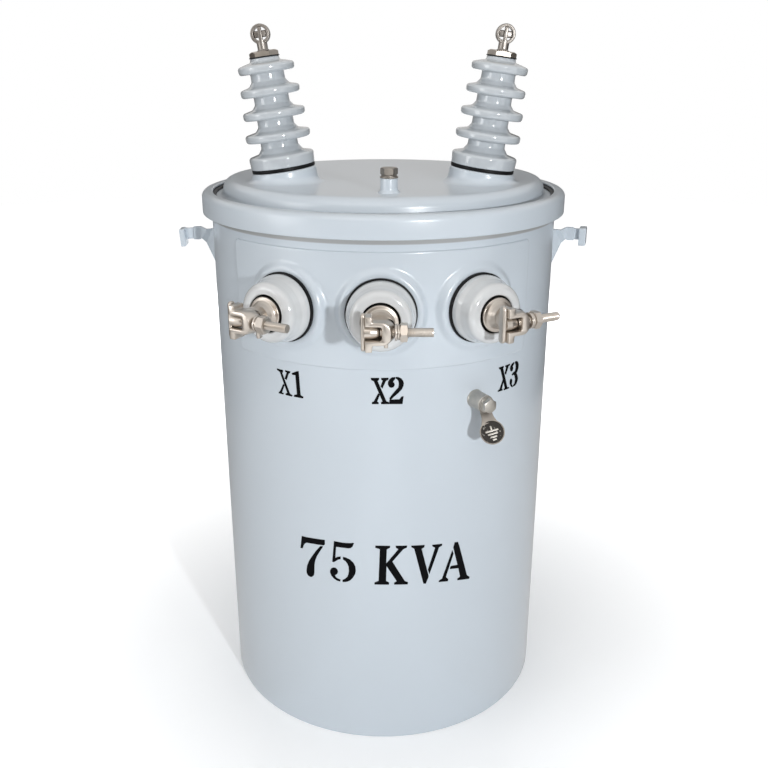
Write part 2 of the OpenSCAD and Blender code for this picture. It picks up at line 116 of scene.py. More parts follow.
class TRANSFORMER_PG_colours(bpy.types.PropertyGroup):
    """Colours of the finishes."""

    enamel: colour("Enamel", "Gloss enamel on tank, cover, band, lugs and brackets", "#c9d2da")
    grey_glaze: colour("Grey glaze", "Glaze of the tall bushings", "#c3c9ce")
    pale_glaze: colour("Pale glaze", "Glaze of the short bushings", "#d2d4d5")
    rubber: colour("Rubber", "Gaskets and seals", "#0e0f11")
    bronze: colour("Tinned bronze", "Clamps and nuts", "#c2bab1")
    # A rougher, darker copy of the bronze: its darker colour is painted shade on the eyes of the tall bushings.
    shaded_dull_bronze: colour("Dulled bronze", "Eyes of the tall bushings", "#8f8a85")
    steel: colour("Plated steel", "Band bolt, ground boss and ground bolt", "#b9b5ae")
    dark_steel: colour("Weathered steel", "Bolt and washers on the cover, ground strap", "#948e87")
    tag_field: colour("Tag field", "Dark ground of the earth tag", "#2c2926")
    ink: colour("Ink", "Stencilled marks", "#060608")
    # Colour of the painted shadow line on the tank just under the band.
    dust: colour("Dust", "Dust in the corner under the band", "#8b857d")


def sizes(context):
    """Every length of the size group, in millimetres."""
    group = context.scene.transformer_sizes
    return SimpleNamespace(**{key: getattr(group, key) / MM for key in TRANSFORMER_PG_sizes.__annotations__})


# Forming

def turns(count):
    """Angles of a full turn in equal steps."""
    return [2 * math.pi * i / count for i in range(count)]


def polar(radius, angle, height):
    """Point at a radius and an angle round +Z."""
    return radius * math.cos(angle), radius * math.sin(angle), height


def rounded(points, closed=False, steps=6):
    """Outline through points (x, y) or (x, y, radius), with each corner turned to an arc of its radius."""
    outline = []
    for i, point in enumerate(points):
        radius = point[2] if len(point) > 2 else 0
        here = Vector(point[:2])
        if radius <= 0 or not closed and i in (0, len(points) - 1):
            outline.append(tuple(here))
            continue
        back = Vector(points[i - 1][:2]) - here
        ahead = Vector(points[(i + 1) % len(points)][:2]) - here
        half = back.angle(ahead) / 2
        cut = min(radius / math.tan(half), back.length, ahead.length)
        radius = cut * math.tan(half)
        back.normalize()
        ahead.normalize()
        centre = here + (back + ahead).normalized() * radius / math.sin(half)
        first = here + back * cut - centre
        last = here + ahead * cut - centre
        start = math.atan2(first.y, first.x)
        turn = (math.atan2(last.y, last.x) - start + math.pi) % (2 * math.pi) - math.pi
        for k in range(steps + 1):
            x, y, _ = polar(radius, start + turn * k / steps, 0)
            outline.append((centre.x + x, centre.y + y))
    return outline


def skin(rings, closed_ring=True, closed_rows=False, capped=False):
    """Mesh of quads between rings of points; a ring of one point is a pole, and caps close the first and last."""
    bm = bmesh.new()
    rows = [[bm.verts.new(p) for p in ring] for ring in rings]
    for low, high in zip(rows, rows[1:] + rows[:1] if closed_rows else rows[1:]):
        count = max(len(low), len(high))
        for i in range(count if closed_ring else count - 1):
            j = (i + 1) % count
            corners = (low[i % len(low)], low[j % len(low)], high[j % len(high)], high[i % len(high)])
            corners = list(dict.fromkeys(corners))
            if len(corners) > 2:
                bm.faces.new(corners)
    if capped:
        bm.faces.new(rows[0])
        bm.faces.new(rows[-1])
    return bm


def turned(profile, segments=96, closed=False):
    """Turns a profile of (radius, height) round +Z."""
    rings = [[polar(radius, a, height) for a in turns(segments)] if radius > 1e-6 else [(0, 0, height)]
             for radius, height in profile]
    return skin(rings, closed_rows=closed)


def moved(bm, part, place=Matrix()):
    """Adds the mesh of part to bm, placed by a matrix, and frees it."""
    part.transform(place)
    mesh = bpy.data.meshes.new("part")
    part.to_mesh(mesh)
    part.free()
    bm.from_mesh(mesh)
    bpy.data.meshes.remove(mesh)


def raised(bm, faces):
    """Extrudes faces and gives the points of the new side."""
    grown = bmesh.ops.extrude_face_region(bm, geom=faces)["geom"]
    return [v for v in grown if isinstance(v, bmesh.types.BMVert)]


def pressed(outline, low, high, edge, steps=3):
    """Plate cut to an outline between two heights, with its edges rounded over."""
    bm = bmesh.new()
    face = bm.faces.new([bm.verts.new((x, y, low)) for x, y in outline])
    bmesh.ops.translate(bm, verts=raised(bm, [face]), vec=(0, 0, high - low))
    bmesh.ops.recalc_face_normals(bm, faces=bm.faces)
    flat = [e for e in bm.edges if abs(e.verts[0].co.z - e.verts[1].co.z) < 1e-6]
    bmesh.ops.bevel(bm, geom=flat, offset=edge, segments=steps, profile=0.5, affect="EDGES", clamp_overlap=False)
    return bm


def hexagon(across, low, high, bore=0.0, chamfer_low=True, chamfer_high=True):
    """Hexagon nut or head over its corners, with the turned chamfer that cuts the corners."""
    flat = across / 2 * math.cos(math.pi / 6)
    face, ease, slope = flat * 0.94, 0.8, math.tan(math.radians(30))
    angles = turns(96)
    radii = [flat / math.cos((a + math.pi / 6) % (math.pi / 3) - math.pi / 6) for a in angles]

    def ring(radius, height):
        return [polar(radius, a, height) for a in angles]

    def rim(height, cut):
        return [polar(r, a, height + cut * (r - face) * slope) for a, r in zip(angles, radii)]

    sides = [ring(face, low), rim(low, 1 if chamfer_low else 0), rim(high, -1 if chamfer_high else 0), ring(face, high)]
    if not bore:
        return skin([[(0, 0, low)], *sides, [(0, 0, high)]])
    return skin([ring(bore, low + ease), ring(bore + ease, low), *sides, ring(bore + ease, high),
                 ring(bore, high - ease)], closed_rows=True)


def threaded(radius, low, high, pitch, depth):
    """Screw thread as one helical wave, with a chamfered end."""
    rows, segments = max(2, round((high - low) / pitch * 8)), 36
    rings = [[(0, 0, low)]]
    for k in range(rows + 1):
        z = low + (high - low) * k / rows
        end = max(0.0, 1 - (high - z) / (1.5 * pitch))
        waves = (abs(2 * ((z / pitch - i / segments) % 1) - 1) for i in range(segments))
        rings.append([polar(radius - depth * max(wave, end), a, z) for wave, a in zip(waves, turns(segments))])
    return skin(rings + [[(0, 0, high)]])


def ring_bar(outer, inner, low, high, edge, segments=96):
    """Flat ring with eased edges."""
    section = [(inner, low, edge), (outer, low, edge), (outer, high, edge), (inner, high, edge)]
    return turned(rounded(section, True, 4), segments, closed=True)


def disc_bar(profile, segments=96, steps=6):
    """Solid of revolution from a profile that starts and ends on the axis."""
    return turned(rounded(profile, steps=steps), segments)


def block(low, high, edge, steps=3):
    """Box between two corners with rounded edges."""
    bm = bmesh.new()
    bmesh.ops.create_cube(bm, size=1)
    bmesh.ops.scale(bm, vec=Vector(high) - Vector(low), verts=bm.verts)
    bmesh.ops.translate(bm, vec=(Vector(high) + Vector(low)) / 2, verts=bm.verts)
    bmesh.ops.bevel(bm, geom=bm.edges[:], offset=edge, segments=steps, profile=0.5, affect="EDGES")
    return bm


def on_wall(angle, height):
    """Place on the tank: +Z along the radius, +X to the right, +Y up; angle in radians from the front."""
    return Matrix.Rotation(angle, 4, "Z") @ Matrix.Translation((0, 0, height)) @ ALONG_Y


def wrapped(arc, height, radius, stand):
    """Point at an arc length from the front, measured on a radius, standing off the tank's wall."""
    a = arc / radius
    return Vector((stand * math.sin(a), -stand * math.cos(a), height))


def in_scene(name, bm, unit=MM):
    """Puts a mesh drawn in a unit in the scene as an object."""
    bm.transform(Matrix.Scale(unit, 4))
    mesh = bpy.data.meshes.new(name)
    bm.to_mesh(mesh)
    bm.free()
    made = bpy.data.objects.new(name, mesh)
    bpy.context.scene.collection.objects.link(made)
    return made


def piece(name, bm, finishes, *nodes, place=Matrix(), sharp=32):
    """Puts a mesh in its place as an object, smooth up to an angle, that stands for the named solids."""
    bm.transform(place)
    bmesh.ops.remove_doubles(bm, verts=bm.verts, dist=1e-4)
    bmesh.ops.recalc_face_normals(bm, faces=bm.faces)
    for face in bm.faces:
        face.smooth = True
    for edge in bm.edges:
        edge.smooth = len(edge.link_faces) == 2 and edge.calc_face_angle(0) < math.radians(sharp)
    made = in_scene(name, bm)
    finishes = finishes if isinstance(finishes, tuple) else (finishes,)
    for finish in finishes:
        made.data.materials.append(bpy.data.materials[finish])
    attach(made, "root")
    if nodes:
        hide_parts(*nodes)
    return made


# Finishes

ENAMEL = "Sprayed gloss enamel"
# The tank's enamel carries a painted shadow line just under the band.
TANK_ENAMEL = "Sprayed gloss enamel dusty under the band"
GREY_GLAZE = "Glazed porcelain grey"
PALE_GLAZE = "Glazed porcelain pale"
RUBBER = "Moulded nitrile rubber"
BRONZE = "Tinned cast bronze"
SHADED_DULL_BRONZE = "Tinned cast bronze dulled"
STEEL = "Zinc plated steel"
DARK_STEEL = "Weathered bolt steel"
TAG_FIELD = "Etched tag field"
INK = "Stencilled ink"


def add(tree, kind, settings=None, links=None):
    """Adds a node, sets its properties and sockets and links its inputs."""
    node = tree.nodes.new(kind)
    for key, value in (settings or {}).items():
        if isinstance(key, str) and hasattr(node, key):
            setattr(node, key, value)
        else:
            node.inputs[key].default_value = value
    for key, source in (links or {}).items():
        tree.links.new(source, node.inputs[key])
    return node


def mixed(name, shader):
    """A new material with its shader's constant sockets set; gives it, its tree and its shader."""
    material = bpy.data.materials.new(name)
    material.use_nodes = True
    bsdf = material.node_tree.nodes["Principled BSDF"]
    for key, value in shader.items():
        bsdf.inputs[key].default_value = value
    return material, material.node_tree, bsdf


def per_mm(size):
    """A pattern's size in millimetres as the scale of a noise on coordinates in metres."""
    return 1 / (size * MM)


def coated(name, shader, cloud, shares, gloss=None, grain=None, relief=None):
    """A new finish. Clouds of (millimetres, detail) make its colour darker and lighter by two shares and its
    roughness go from one value to another. The grain, or else the clouds, give a relief of (strength, metres).
    Gives its tree, shader, coordinates and tone."""
    material, tree, bsdf = mixed(name, shader)
    body = material.diffuse_color = shader["Base Color"]
    place = add(tree, "ShaderNodeTexCoord").outputs["Object"]
    patterns = [add(tree, "ShaderNodeTexNoise", {"Scale": per_mm(size), "Detail": detail}, {"Vector": place}).outputs[0]
                for size, detail in filter(None, (cloud, grain))]
    dark, light = (tuple(min(1.0, c * share) for c in body[:3]) + (1.0,) for share in shares)
    tone = add(tree, "ShaderNodeMix", {"data_type": "RGBA", 6: dark, 7: light}, {0: patterns[0]}).outputs[2]
    tree.links.new(tone, bsdf.inputs["Base Color"])
    if gloss:
        level = add(tree, "ShaderNodeMapRange", {3: gloss[0], 4: gloss[1]}, {0: patterns[0]})
        tree.links.new(level.outputs[0], bsdf.inputs["Roughness"])
    if relief:
        bump = add(tree, "ShaderNodeBump", {"Strength": relief[0], "Distance": relief[1]}, {"Height": patterns[-1]})
        tree.links.new(bump.outputs[0], bsdf.inputs["Normal"])
    return tree, bsdf, place, tone


class TRANSFORMER_OT_finishes(bpy.types.Operator):
    """Mix the finishes of all pieces"""

    bl_idname = "transformer.finishes"
    bl_label = "Finishes"

    def execute(self, context):
        c = context.scene.transformer_colours

        # Two coats of gloss enamel sprayed on sheet: an even pale blue-grey with wide soft reflections that
        # waver a little. Real orange peel is about 2 mm; it is drawn at 5 mm so that it shows.
        for name in (ENAMEL, TANK_ENAMEL):
            tree, bsdf, place, tone = coated(
                name, {"Base Color": c.enamel, "IOR": 1.5, "Roughness": 0.26, "Coat Weight": 0.25,
                       "Coat Roughness": 0.12}, (180, 2), (0.985, 1.015), (0.27, 0.3), (5, 2), (0.05, 0.0004))
        # On the tank, a thin brownish line of painted shadow is drawn just under the band, where the band shades the
        # wall.
        edge = cad("cover_band")[0].z
        up = add(tree, "ShaderNodeSeparateXYZ", None, {0: place}).outputs["Z"]
        line = add(tree, "ShaderNodeMapRange", {"interpolation_type": "SMOOTHSTEP", 1: (edge - 9) * MM,
                                                2: (edge - 7) * MM, 4: 0.66}, {0: up})
        shadowed = add(tree, "ShaderNodeMix", {"data_type": "RGBA", 7: c.dust}, {0: line.outputs[0], 6: tone})
        tree.links.new(shadowed.outputs[2], bsdf.inputs["Base Color"])

        # Porcelain fired under a clear glaze: deep, wet reflections and a faint cloudiness in the body.
        for name, body, cloud in ((GREY_GLAZE, c.grey_glaze, 26), (PALE_GLAZE, c.pale_glaze, 22)):
            coated(name, {"Base Color": body, "IOR": 1.54, "Roughness": 0.13, "Coat Weight": 0.5,
                          "Coat Roughness": 0.04}, (cloud, 3), (0.95, 1.04), (0.08, 0.2), relief=(0.06, 0.0006))

        # Nitrile rubber from a mould: near black, dull, with a fine grain and greyer bloom in patches.
        coated(RUBBER, {"Base Color": c.rubber, "IOR": 1.52, "Specular IOR Level": 0.15, "Roughness": 0.45},
               (1.5, 4), (0.7, 1.3), (0.35, 0.55), relief=(0.2, 0.0003))

        # Bronze cast in sand and dipped in tin: warm silver, softly pitted, brighter where it was wiped. The eyes
        # get a rougher, darker and greyer copy; its darker colour is painted shade that holds down their bright
        # reflections of the lamps. The casting skin's 0.8 mm grain is drawn at 2 mm.
        for name, body, dull in ((BRONZE, c.bronze, 0.25), (SHADED_DULL_BRONZE, c.shaded_dull_bronze, 0.32)):
            coated(name, {"Base Color": body, "Metallic": 1.0, "Roughness": dull}, (14, 3), (0.9, 1.06),
                   (dull, dull + 0.14), (2, 4), (0.05, 0.0003))

        # Machined steel with a thin zinc plate: grey, half bright, clouded by handling. The bolt on the cover has
        # lost most of its plate and is darker, browner and duller.
        for name, body, dull in ((STEEL, c.steel, 0.3), (DARK_STEEL, c.dark_steel, 0.34)):
            coated(name, {"Base Color": body, "Metallic": 1.0, "Roughness": dull}, (6, 5), (0.7, 1.15),
                   (dull, dull + 0.25), relief=(0.12, 0.0003))

        # Ground of the tag, etched and blackened: dark and matt between the bright raised lines, with bright specks
        # where the black has worn off.
        tree, bsdf, place, tone = coated(TAG_FIELD, {"Base Color": c.tag_field, "Metallic": 0.6, "Roughness": 0.6},
                                         (1.2, 3), (0.6, 1.6), relief=(0.3, 0.0002))
        scuffs = add(tree, "ShaderNodeTexNoise", {"Scale": per_mm(4), "Detail": 2}, {"Vector": place})
        worn = add(tree, "ShaderNodeMapRange", {1: 0.62, 2: 0.68, 4: 0.6}, {0: scuffs.outputs[0]})
        bare = add(tree, "ShaderNodeMix", {"data_type": "RGBA", 7: c.steel}, {0: worn.outputs[0], 6: tone})
        tree.links.new(bare.outputs[2], bsdf.inputs["Base Color"])

        # Marking ink sprayed through a stencil: black, half matt, a little thinner in places.
        coated(INK, {"Base Color": c.ink, "IOR": 1.48, "Specular IOR Level": 0.06, "Roughness": 0.65},
               (4, 4), (1, 1.8), (0.55, 0.75))
        return {"FINISHED"}


# Pieces

class TRANSFORMER_OT_tank(bpy.types.Operator):
    """Roll the tank's wall with its turned rim and paint the bottom plate"""

    bl_idname = "transformer.tank"
    bl_label = "Tank"

    def execute(self, context):
        foot, high = sizes(context).foot_round, cad("tank_wall")[1]
        rim, top, under = high.x, high.z, high.z - 4
        section = rounded([(TANK_IN, 0, foot), (TANK_R, 0, foot), (TANK_R, under, 2.5), (rim, under, 1.2),
                           (rim, top, 1.2), (TANK_IN, top, 1.2)], True)
        piece("tank_shell", turned(section, ROUND, closed=True), TANK_ENAMEL, "tank_wall")
        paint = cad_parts["tank_bottom"].data.materials
        paint.clear()
        paint.append(bpy.data.materials[ENAMEL])
        return {"FINISHED"}


def terminal_angle(i):
    """Angle of a front terminal from the front, in radians."""
    centre = cad("lv_gasket_" + i)[2]
    return math.atan2(centre.x, -centre.y)


class TRANSFORMER_OT_terminal_plate(bpy.types.Operator):
    """Press the raised plate with a flattened seat under each front terminal"""

    bl_idname = "transformer.terminal_plate"
    bl_label = "Terminal plate"

    def execute(self, context):
        s = sizes(context)
        low, high, centre = cad("bushing_panel")
        plate_r = -low.y
        thick = plate_r - TANK_R
        half_w = plate_r * math.asin(high.x / plate_r)
        half_h = (high.z - low.z) / 2
        seat_out = -cad("lv_gasket_2")[1].y
        seats = [terminal_angle(i) for i in TERMINALS]
        columns, rows, rolls = 230, 76, 5

        def on_plate(arc, height, sink=0.0):
            """Point of the plate's face, or sunk below it, raised to the flat seats."""
            out = plate_r
            for seat in seats:
                turn = arc / plate_r - seat
                reach = math.hypot(plate_r * math.sin(turn), height)
                share = min(1, max(0, (s.seat_soft - reach) / (s.seat_soft - s.seat_flat)))
                share = share * share * (3 - 2 * share)
                out += share * (seat_out / math.cos(turn) - plate_r)
            return wrapped(arc, centre.z + height, plate_r, out - sink)

        def border(inset):
            """Points round the plate, inset from its edge, as bottom, right, top and left runs."""
            w, h, r = half_w - inset, half_h - inset, s.plate_corner - inset

            def corner(sx, sy, first, last):
                arc = [polar(r, math.radians(first + (last - first) * k / 4), 0) for k in range(5)]
                return [(sx * (w - r) + x, sy * (h - r) + y) for x, y, _ in arc]

            def run(first, last, count):
                (x, y), (to_x, to_y) = first[-1], last[0]
                between = [(x + (to_x - x) * k / count, y + (to_y - y) * k / count) for k in range(1, count)]
                return first + between + last

            return (run(corner(-1, -1, 225, 270), corner(1, -1, 270, 315), columns),
                    run(corner(1, -1, 315, 360), corner(1, 1, 0, 45), rows),
                    run(corner(-1, 1, 135, 90), corner(1, 1, 90, 45), columns),
                    run(corner(-1, -1, 225, 180), corner(-1, 1, 180, 135), rows))

        bottom, right, top, left = (list(map(Vector, side)) for side in border(s.plate_edge))
        grid = []
        for j in range(len(left)):
            v = j / (len(left) - 1)
            row = []
            for i in range(len(bottom)):
                u = i / (len(bottom) - 1)
                p = (1 - v) * bottom[i] + v * top[i] + (1 - u) * left[j] + u * right[j]
                p -= (1 - u) * (1 - v) * bottom[0] + u * (1 - v) * bottom[-1] + (1 - u) * v * top[0] + u * v * top[-1]
                row.append(on_plate(*p))
            grid.append(row)
        bm = skin(grid, closed_ring=False)
        # The edge rolls over from the face to the wall in small steps.
        loops = []
        for k in range(rolls + 1):
            a = math.pi / 2 * k / rolls
            sink = thick * (1 - math.cos(a)) if k < rolls else thick + 0.4
            bottom, right, top, left = border(s.plate_edge * (1 - math.sin(a)))
            loop = bottom[:-1] + right[:-1] + top[::-1][:-1] + left[::-1][:-1]
            loops.append([on_plate(x, y, sink) for x, y in loop])
        moved(bm, skin(loops))
        piece("terminal_plate", bm, ENAMEL, "bushing_panel", "lv_seat_1", "lv_seat_2", "lv_seat_3", sharp=60)
        return {"FINISHED"}


def bushing_axis(side):
    """Foot, direction and place of a tall bushing's axis, from its gasket and its nut."""
    middle, gasket = cad("hv_gasket_" + side)[2], 5.0
    axis = (cad("hv_nut_" + side)[2] - middle).normalized()
    foot = middle - axis * gasket / 2
    return foot, axis, Matrix.Translation(foot) @ Matrix.Rotation(math.atan2(axis.x, axis.z), 4, "Y")


class TRANSFORMER_OT_cover(bpy.types.Operator):
    """Press the cover with its shoulder and its two turrets, and lay the gasket round its rim"""

    bl_idname = "transformer.cover"
    bl_label = "Cover"

    def execute(self, context):
        s = sizes(context)
        low, high, _ = cad("cover")
        top = cad("cover_boss")[0].z
        rim, rim_top, wall = high.x, low.z + SHEET, 250.0
        bm = turned(rounded([(wall - 12, low.z), (rim, low.z, 0.8), (rim, rim_top, 1.2),
                             (wall + 1, rim_top, s.cover_foot), (wall, top, s.cover_shoulder),
                             (wall - 40, top + 0.2), (0, top + 0.6)], steps=10), ROUND)
        radius, bore, edge, deep = 48.5, 26, s.turret_edge, Vector((0, 1, 0))
        for side in SIDES:
            foot, axis, place = bushing_axis(side)
            across = place.to_3x3() @ Vector((1, 0, 0))
            columns = []
            for a in turns(96):
                out = across * math.cos(a) + deep * math.sin(a)
                level = Vector((out.x, out.y, 0)).normalized()
                column = [foot + out * bore, foot + out * (radius - edge)]
                for t in (math.pi / 2 * k / 5 for k in range(1, 6)):
                    column.append(foot + out * (radius - edge + edge * math.sin(t)) - axis * edge * (1 - math.cos(t)))
                upper = foot + out * radius
                side_foot = upper - axis * ((upper.z - top) / axis.z)
                hollow = min(s.turret_foot, upper.z - top - edge - 0.5)
                for t in (math.pi / 2 * k / 8 for k in range(9)):
                    column.append(side_foot + level * s.turret_foot * (1 - math.cos(t))
                                  + axis * hollow * (1 - math.sin(t)))
                column.append(side_foot + level * (s.turret_foot + 3) - Vector((0, 0, 1)))
                columns.append(column)
            moved(bm, skin(zip(*columns)))
        piece("cover_sheet", bm, ENAMEL, "cover", sharp=40)

        low, high, _ = cad("cover_gasket")
        outer, inner = high.x, high.x - 17
        section = [(inner, low.z, 1), (outer, low.z, 1), (outer, high.z, 1), (inner, high.z, 1.8)]
        piece("cover_gasket_rubber", turned(rounded(section, True), ROUND, closed=True), RUBBER, "cover_gasket")
        return {"FINISHED"}


class TRANSFORMER_OT_band(bpy.types.Operator):
    """Roll the clamping band with its lip, its ears and the bolt that closes it"""

    bl_idname = "transformer.band"
    bl_label = "Clamping band"

    def execute(self, context):
        edge = sizes(context).band_edge
        low, high, _ = cad("cover_band")
        lip, rim = cad("cover_gasket")[1].z, cad("tank_wall")[1]
        thick, gap, hook = 4.0, 12.0, 271.2
        outer, inner, lip_in = high.x, high.x - thick, rim.x - 12
        section = rounded([(lip_in, lip, 1.6), (lip_in, high.z, 1.9), (outer, high.z, edge), (outer, low.z, 1.6),
                           (inner, low.z, 1.6), (inner, rim.z - 8, 0.4), (hook, rim.z - 8, 1.2),
                           (hook, rim.z - 4, 1.2), (inner, rim.z - 4, 0.4), (inner, lip, edge - thick)], True)
        turn = math.asin(gap / outer)
        angles = [turn + (2 * math.pi - 2 * turn) * i / ROUND for i in range(ROUND + 1)]
        bm = skin([[(r * math.sin(a), r * math.cos(a), z) for r, z in section] for a in angles], capped=True)
        _, bolt_end, bolt = cad("band_bolt")
        ear_in, ear_out, ear = outer - 6, high.y, 12
        upright = Matrix(((0, 0, -1, 0), (1, 0, 0, 0), (0, 1, 0, 0), (0, 0, 0, 1)))
        for sign in (-1, 1):
            outline = rounded([(ear_in, -ear), (ear_out, -ear, 7), (ear_out, ear, 7), (ear_in, ear)], True)
            moved(bm, pressed(outline, 0, PLATE, 0.9),
                  Matrix.Translation((sign * (gap + PLATE / 2) + PLATE / 2, 0, bolt.z)) @ upright)
        piece("clamping_band", bm, ENAMEL, "cover_band")

        out, head, washer = gap + PLATE, 19, 1.5
        bm = hexagon(head, -out - 7, -out - washer, chamfer_high=False)
        moved(bm, ring_bar(11, 5, -out - washer, -out, 0.4))
        moved(bm, ring_bar(11, 5, out, out + washer, 0.4))
        moved(bm, hexagon(head, out + washer, out + 8, bore=4.8))
        moved(bm, threaded(5, -out, bolt_end.x, 1.5, 0.8))
        piece("band_bolt_set", bm, STEEL, "band_bolt", place=Matrix.Translation((0, bolt.y, bolt.z)) @ ALONG_X)
        return {"FINISHED"}


class TRANSFORMER_OT_cover_bolt(bpy.types.Operator):
    """Weld the boss on the cover and put its washer and bolt in"""

    bl_idname = "transformer.cover_bolt"
    bl_label = "Cover bolt"

    def execute(self, context):
        low, high, centre = cad("cover_boss")
        radius, foot, top = (high.x - low.x) / 2, low.z, high.z
        place = Matrix.Translation((centre.x, centre.y, 0))
        bm = disc_bar([(0, foot - 1), (radius + 3.6, foot - 1), (radius + 3.2, foot + 0.8, 1.2), (radius, foot + 4, 4),
                       (radius, top, 1.2), (0, top)])
        piece("cover_boss_turned", bm, ENAMEL, "cover_boss", place=place)
        washer, spring = top + 2.2, top + 4
        bm = ring_bar(radius + 0.6, 6, top, washer, 0.8)
        moved(bm, ring_bar(radius - 1.2, 6, washer, spring, 0.6))
        moved(bm, hexagon(24.2, spring, cad("cover_bolt")[1].z), Matrix.Rotation(0.5, 4, "Z"))
        piece("cover_bolt_set", bm, DARK_STEEL, "cover_bolt", place=place)
        return {"FINISHED"}


class TRANSFORMER_OT_tall_bushings(bpy.types.Operator):
    """Turn the two tall porcelain bushings and fit their gaskets, seals, nuts and eyes"""

    bl_idname = "transformer.tall_bushings"
    bl_label = "Tall bushings"

    def execute(self, context):
        shed_rim = sizes(context).shed_rim
        tail, flange, flange_low, flange_top = 25.0, 48.5, 5.0, 22.5
        core, top_r, top, pitch, sheds = 28.0, 21.0, 158.5, 31.5, 4
        shed_r, shed_step, rim = 48.2, 2.4, 5.6
        nut_low, nut_high = 160.0, 167.5
        eye = nut_high + 22.5

        def core_at(z):
            return core - (core - top_r) * (z - flange_top) / (top - flange_top) * 0.62

        profile = [(0, -30), (tail, -30, 3), (tail, flange_low), (flange - 1.2, flange_low, 1.6),
                   (flange, flange_top - 0.5, 4.5), (core + 5, flange_top + 3.4, 5),
                   (core_at(flange_top + 11), flange_top + 11, 5)]
        for i in range(sheds):
            z = flange_top + (i + 0.83) * pitch
            r = shed_r - i * shed_step
            profile += [(core_at(z - 8), z - rim + 0.6, 2.6), (r - 0.8, z - rim, shed_rim),
                        (r, z + rim - 0.4, shed_rim), (core_at(z + 8) + 4.6, z + rim + 3.2, 6),
                        (core_at(z + 15), z + 15, 5)]
        profile[-1] = (top_r + 0.4, top - 5, 3)
        profile += [(top_r, top, 1.6), (0, top)]
        for side in SIDES:
            place = bushing_axis(side)[2]
            at_eye = Matrix.Translation((0, 0, eye))
            piece("tall_gasket_" + side, ring_bar(47.2, tail, 0, flange_low, 1.2), RUBBER, "hv_gasket_" + side,
                  place=place)
            piece("tall_porcelain_" + side, disc_bar(profile, 128), GREY_GLAZE, "hv_bushing_" + side, place=place,
                  sharp=50)
            bm = disc_bar([(0, top), (top_r + 1, top, 0.6), (top_r + 1, nut_low, 0.6), (0, nut_low)])
            piece("tall_seal_" + side, bm, RUBBER, "hv_seal_" + side, place=place)
            piece("tall_nut_" + side, hexagon(42.4, nut_low, nut_high, chamfer_low=False), BRONZE, "hv_nut_" + side,
                  place=place @ Matrix.Rotation(math.pi / 6, 4, "Z"))
            bm = disc_bar([(0, nut_high - 1), (9, nut_high - 1), (8.6, nut_high + 0.8, 0.8), (7.5, nut_high + 1.6, 1),
                           (7.5, eye - 8), (0, eye - 8)], 64)
            moved(bm, ring_bar(13.9, 9.7, -6.5, 6.5, 1.6, 64), at_eye @ ALONG_Y)
            moved(bm, ring_bar(11.6, 9.6, -7.1, 7.1, 0.8, 64), at_eye @ ALONG_Y)
            piece("tall_eye_" + side, bm, SHADED_DULL_BRONZE, "hv_eye_" + side, place=place)
            bm = block((-2.7, -6.8, -9.6), (2.7, -2.6, 9.6), 1.2)
            moved(bm, block((-9.4, -2.8, -4.6), (9.4, 3, 4.6), 1.6))
            piece("tall_keeper_" + side, bm, SHADED_DULL_BRONZE, "hv_keeper_" + side, place=place @ at_eye)
        return {"FINISHED"}


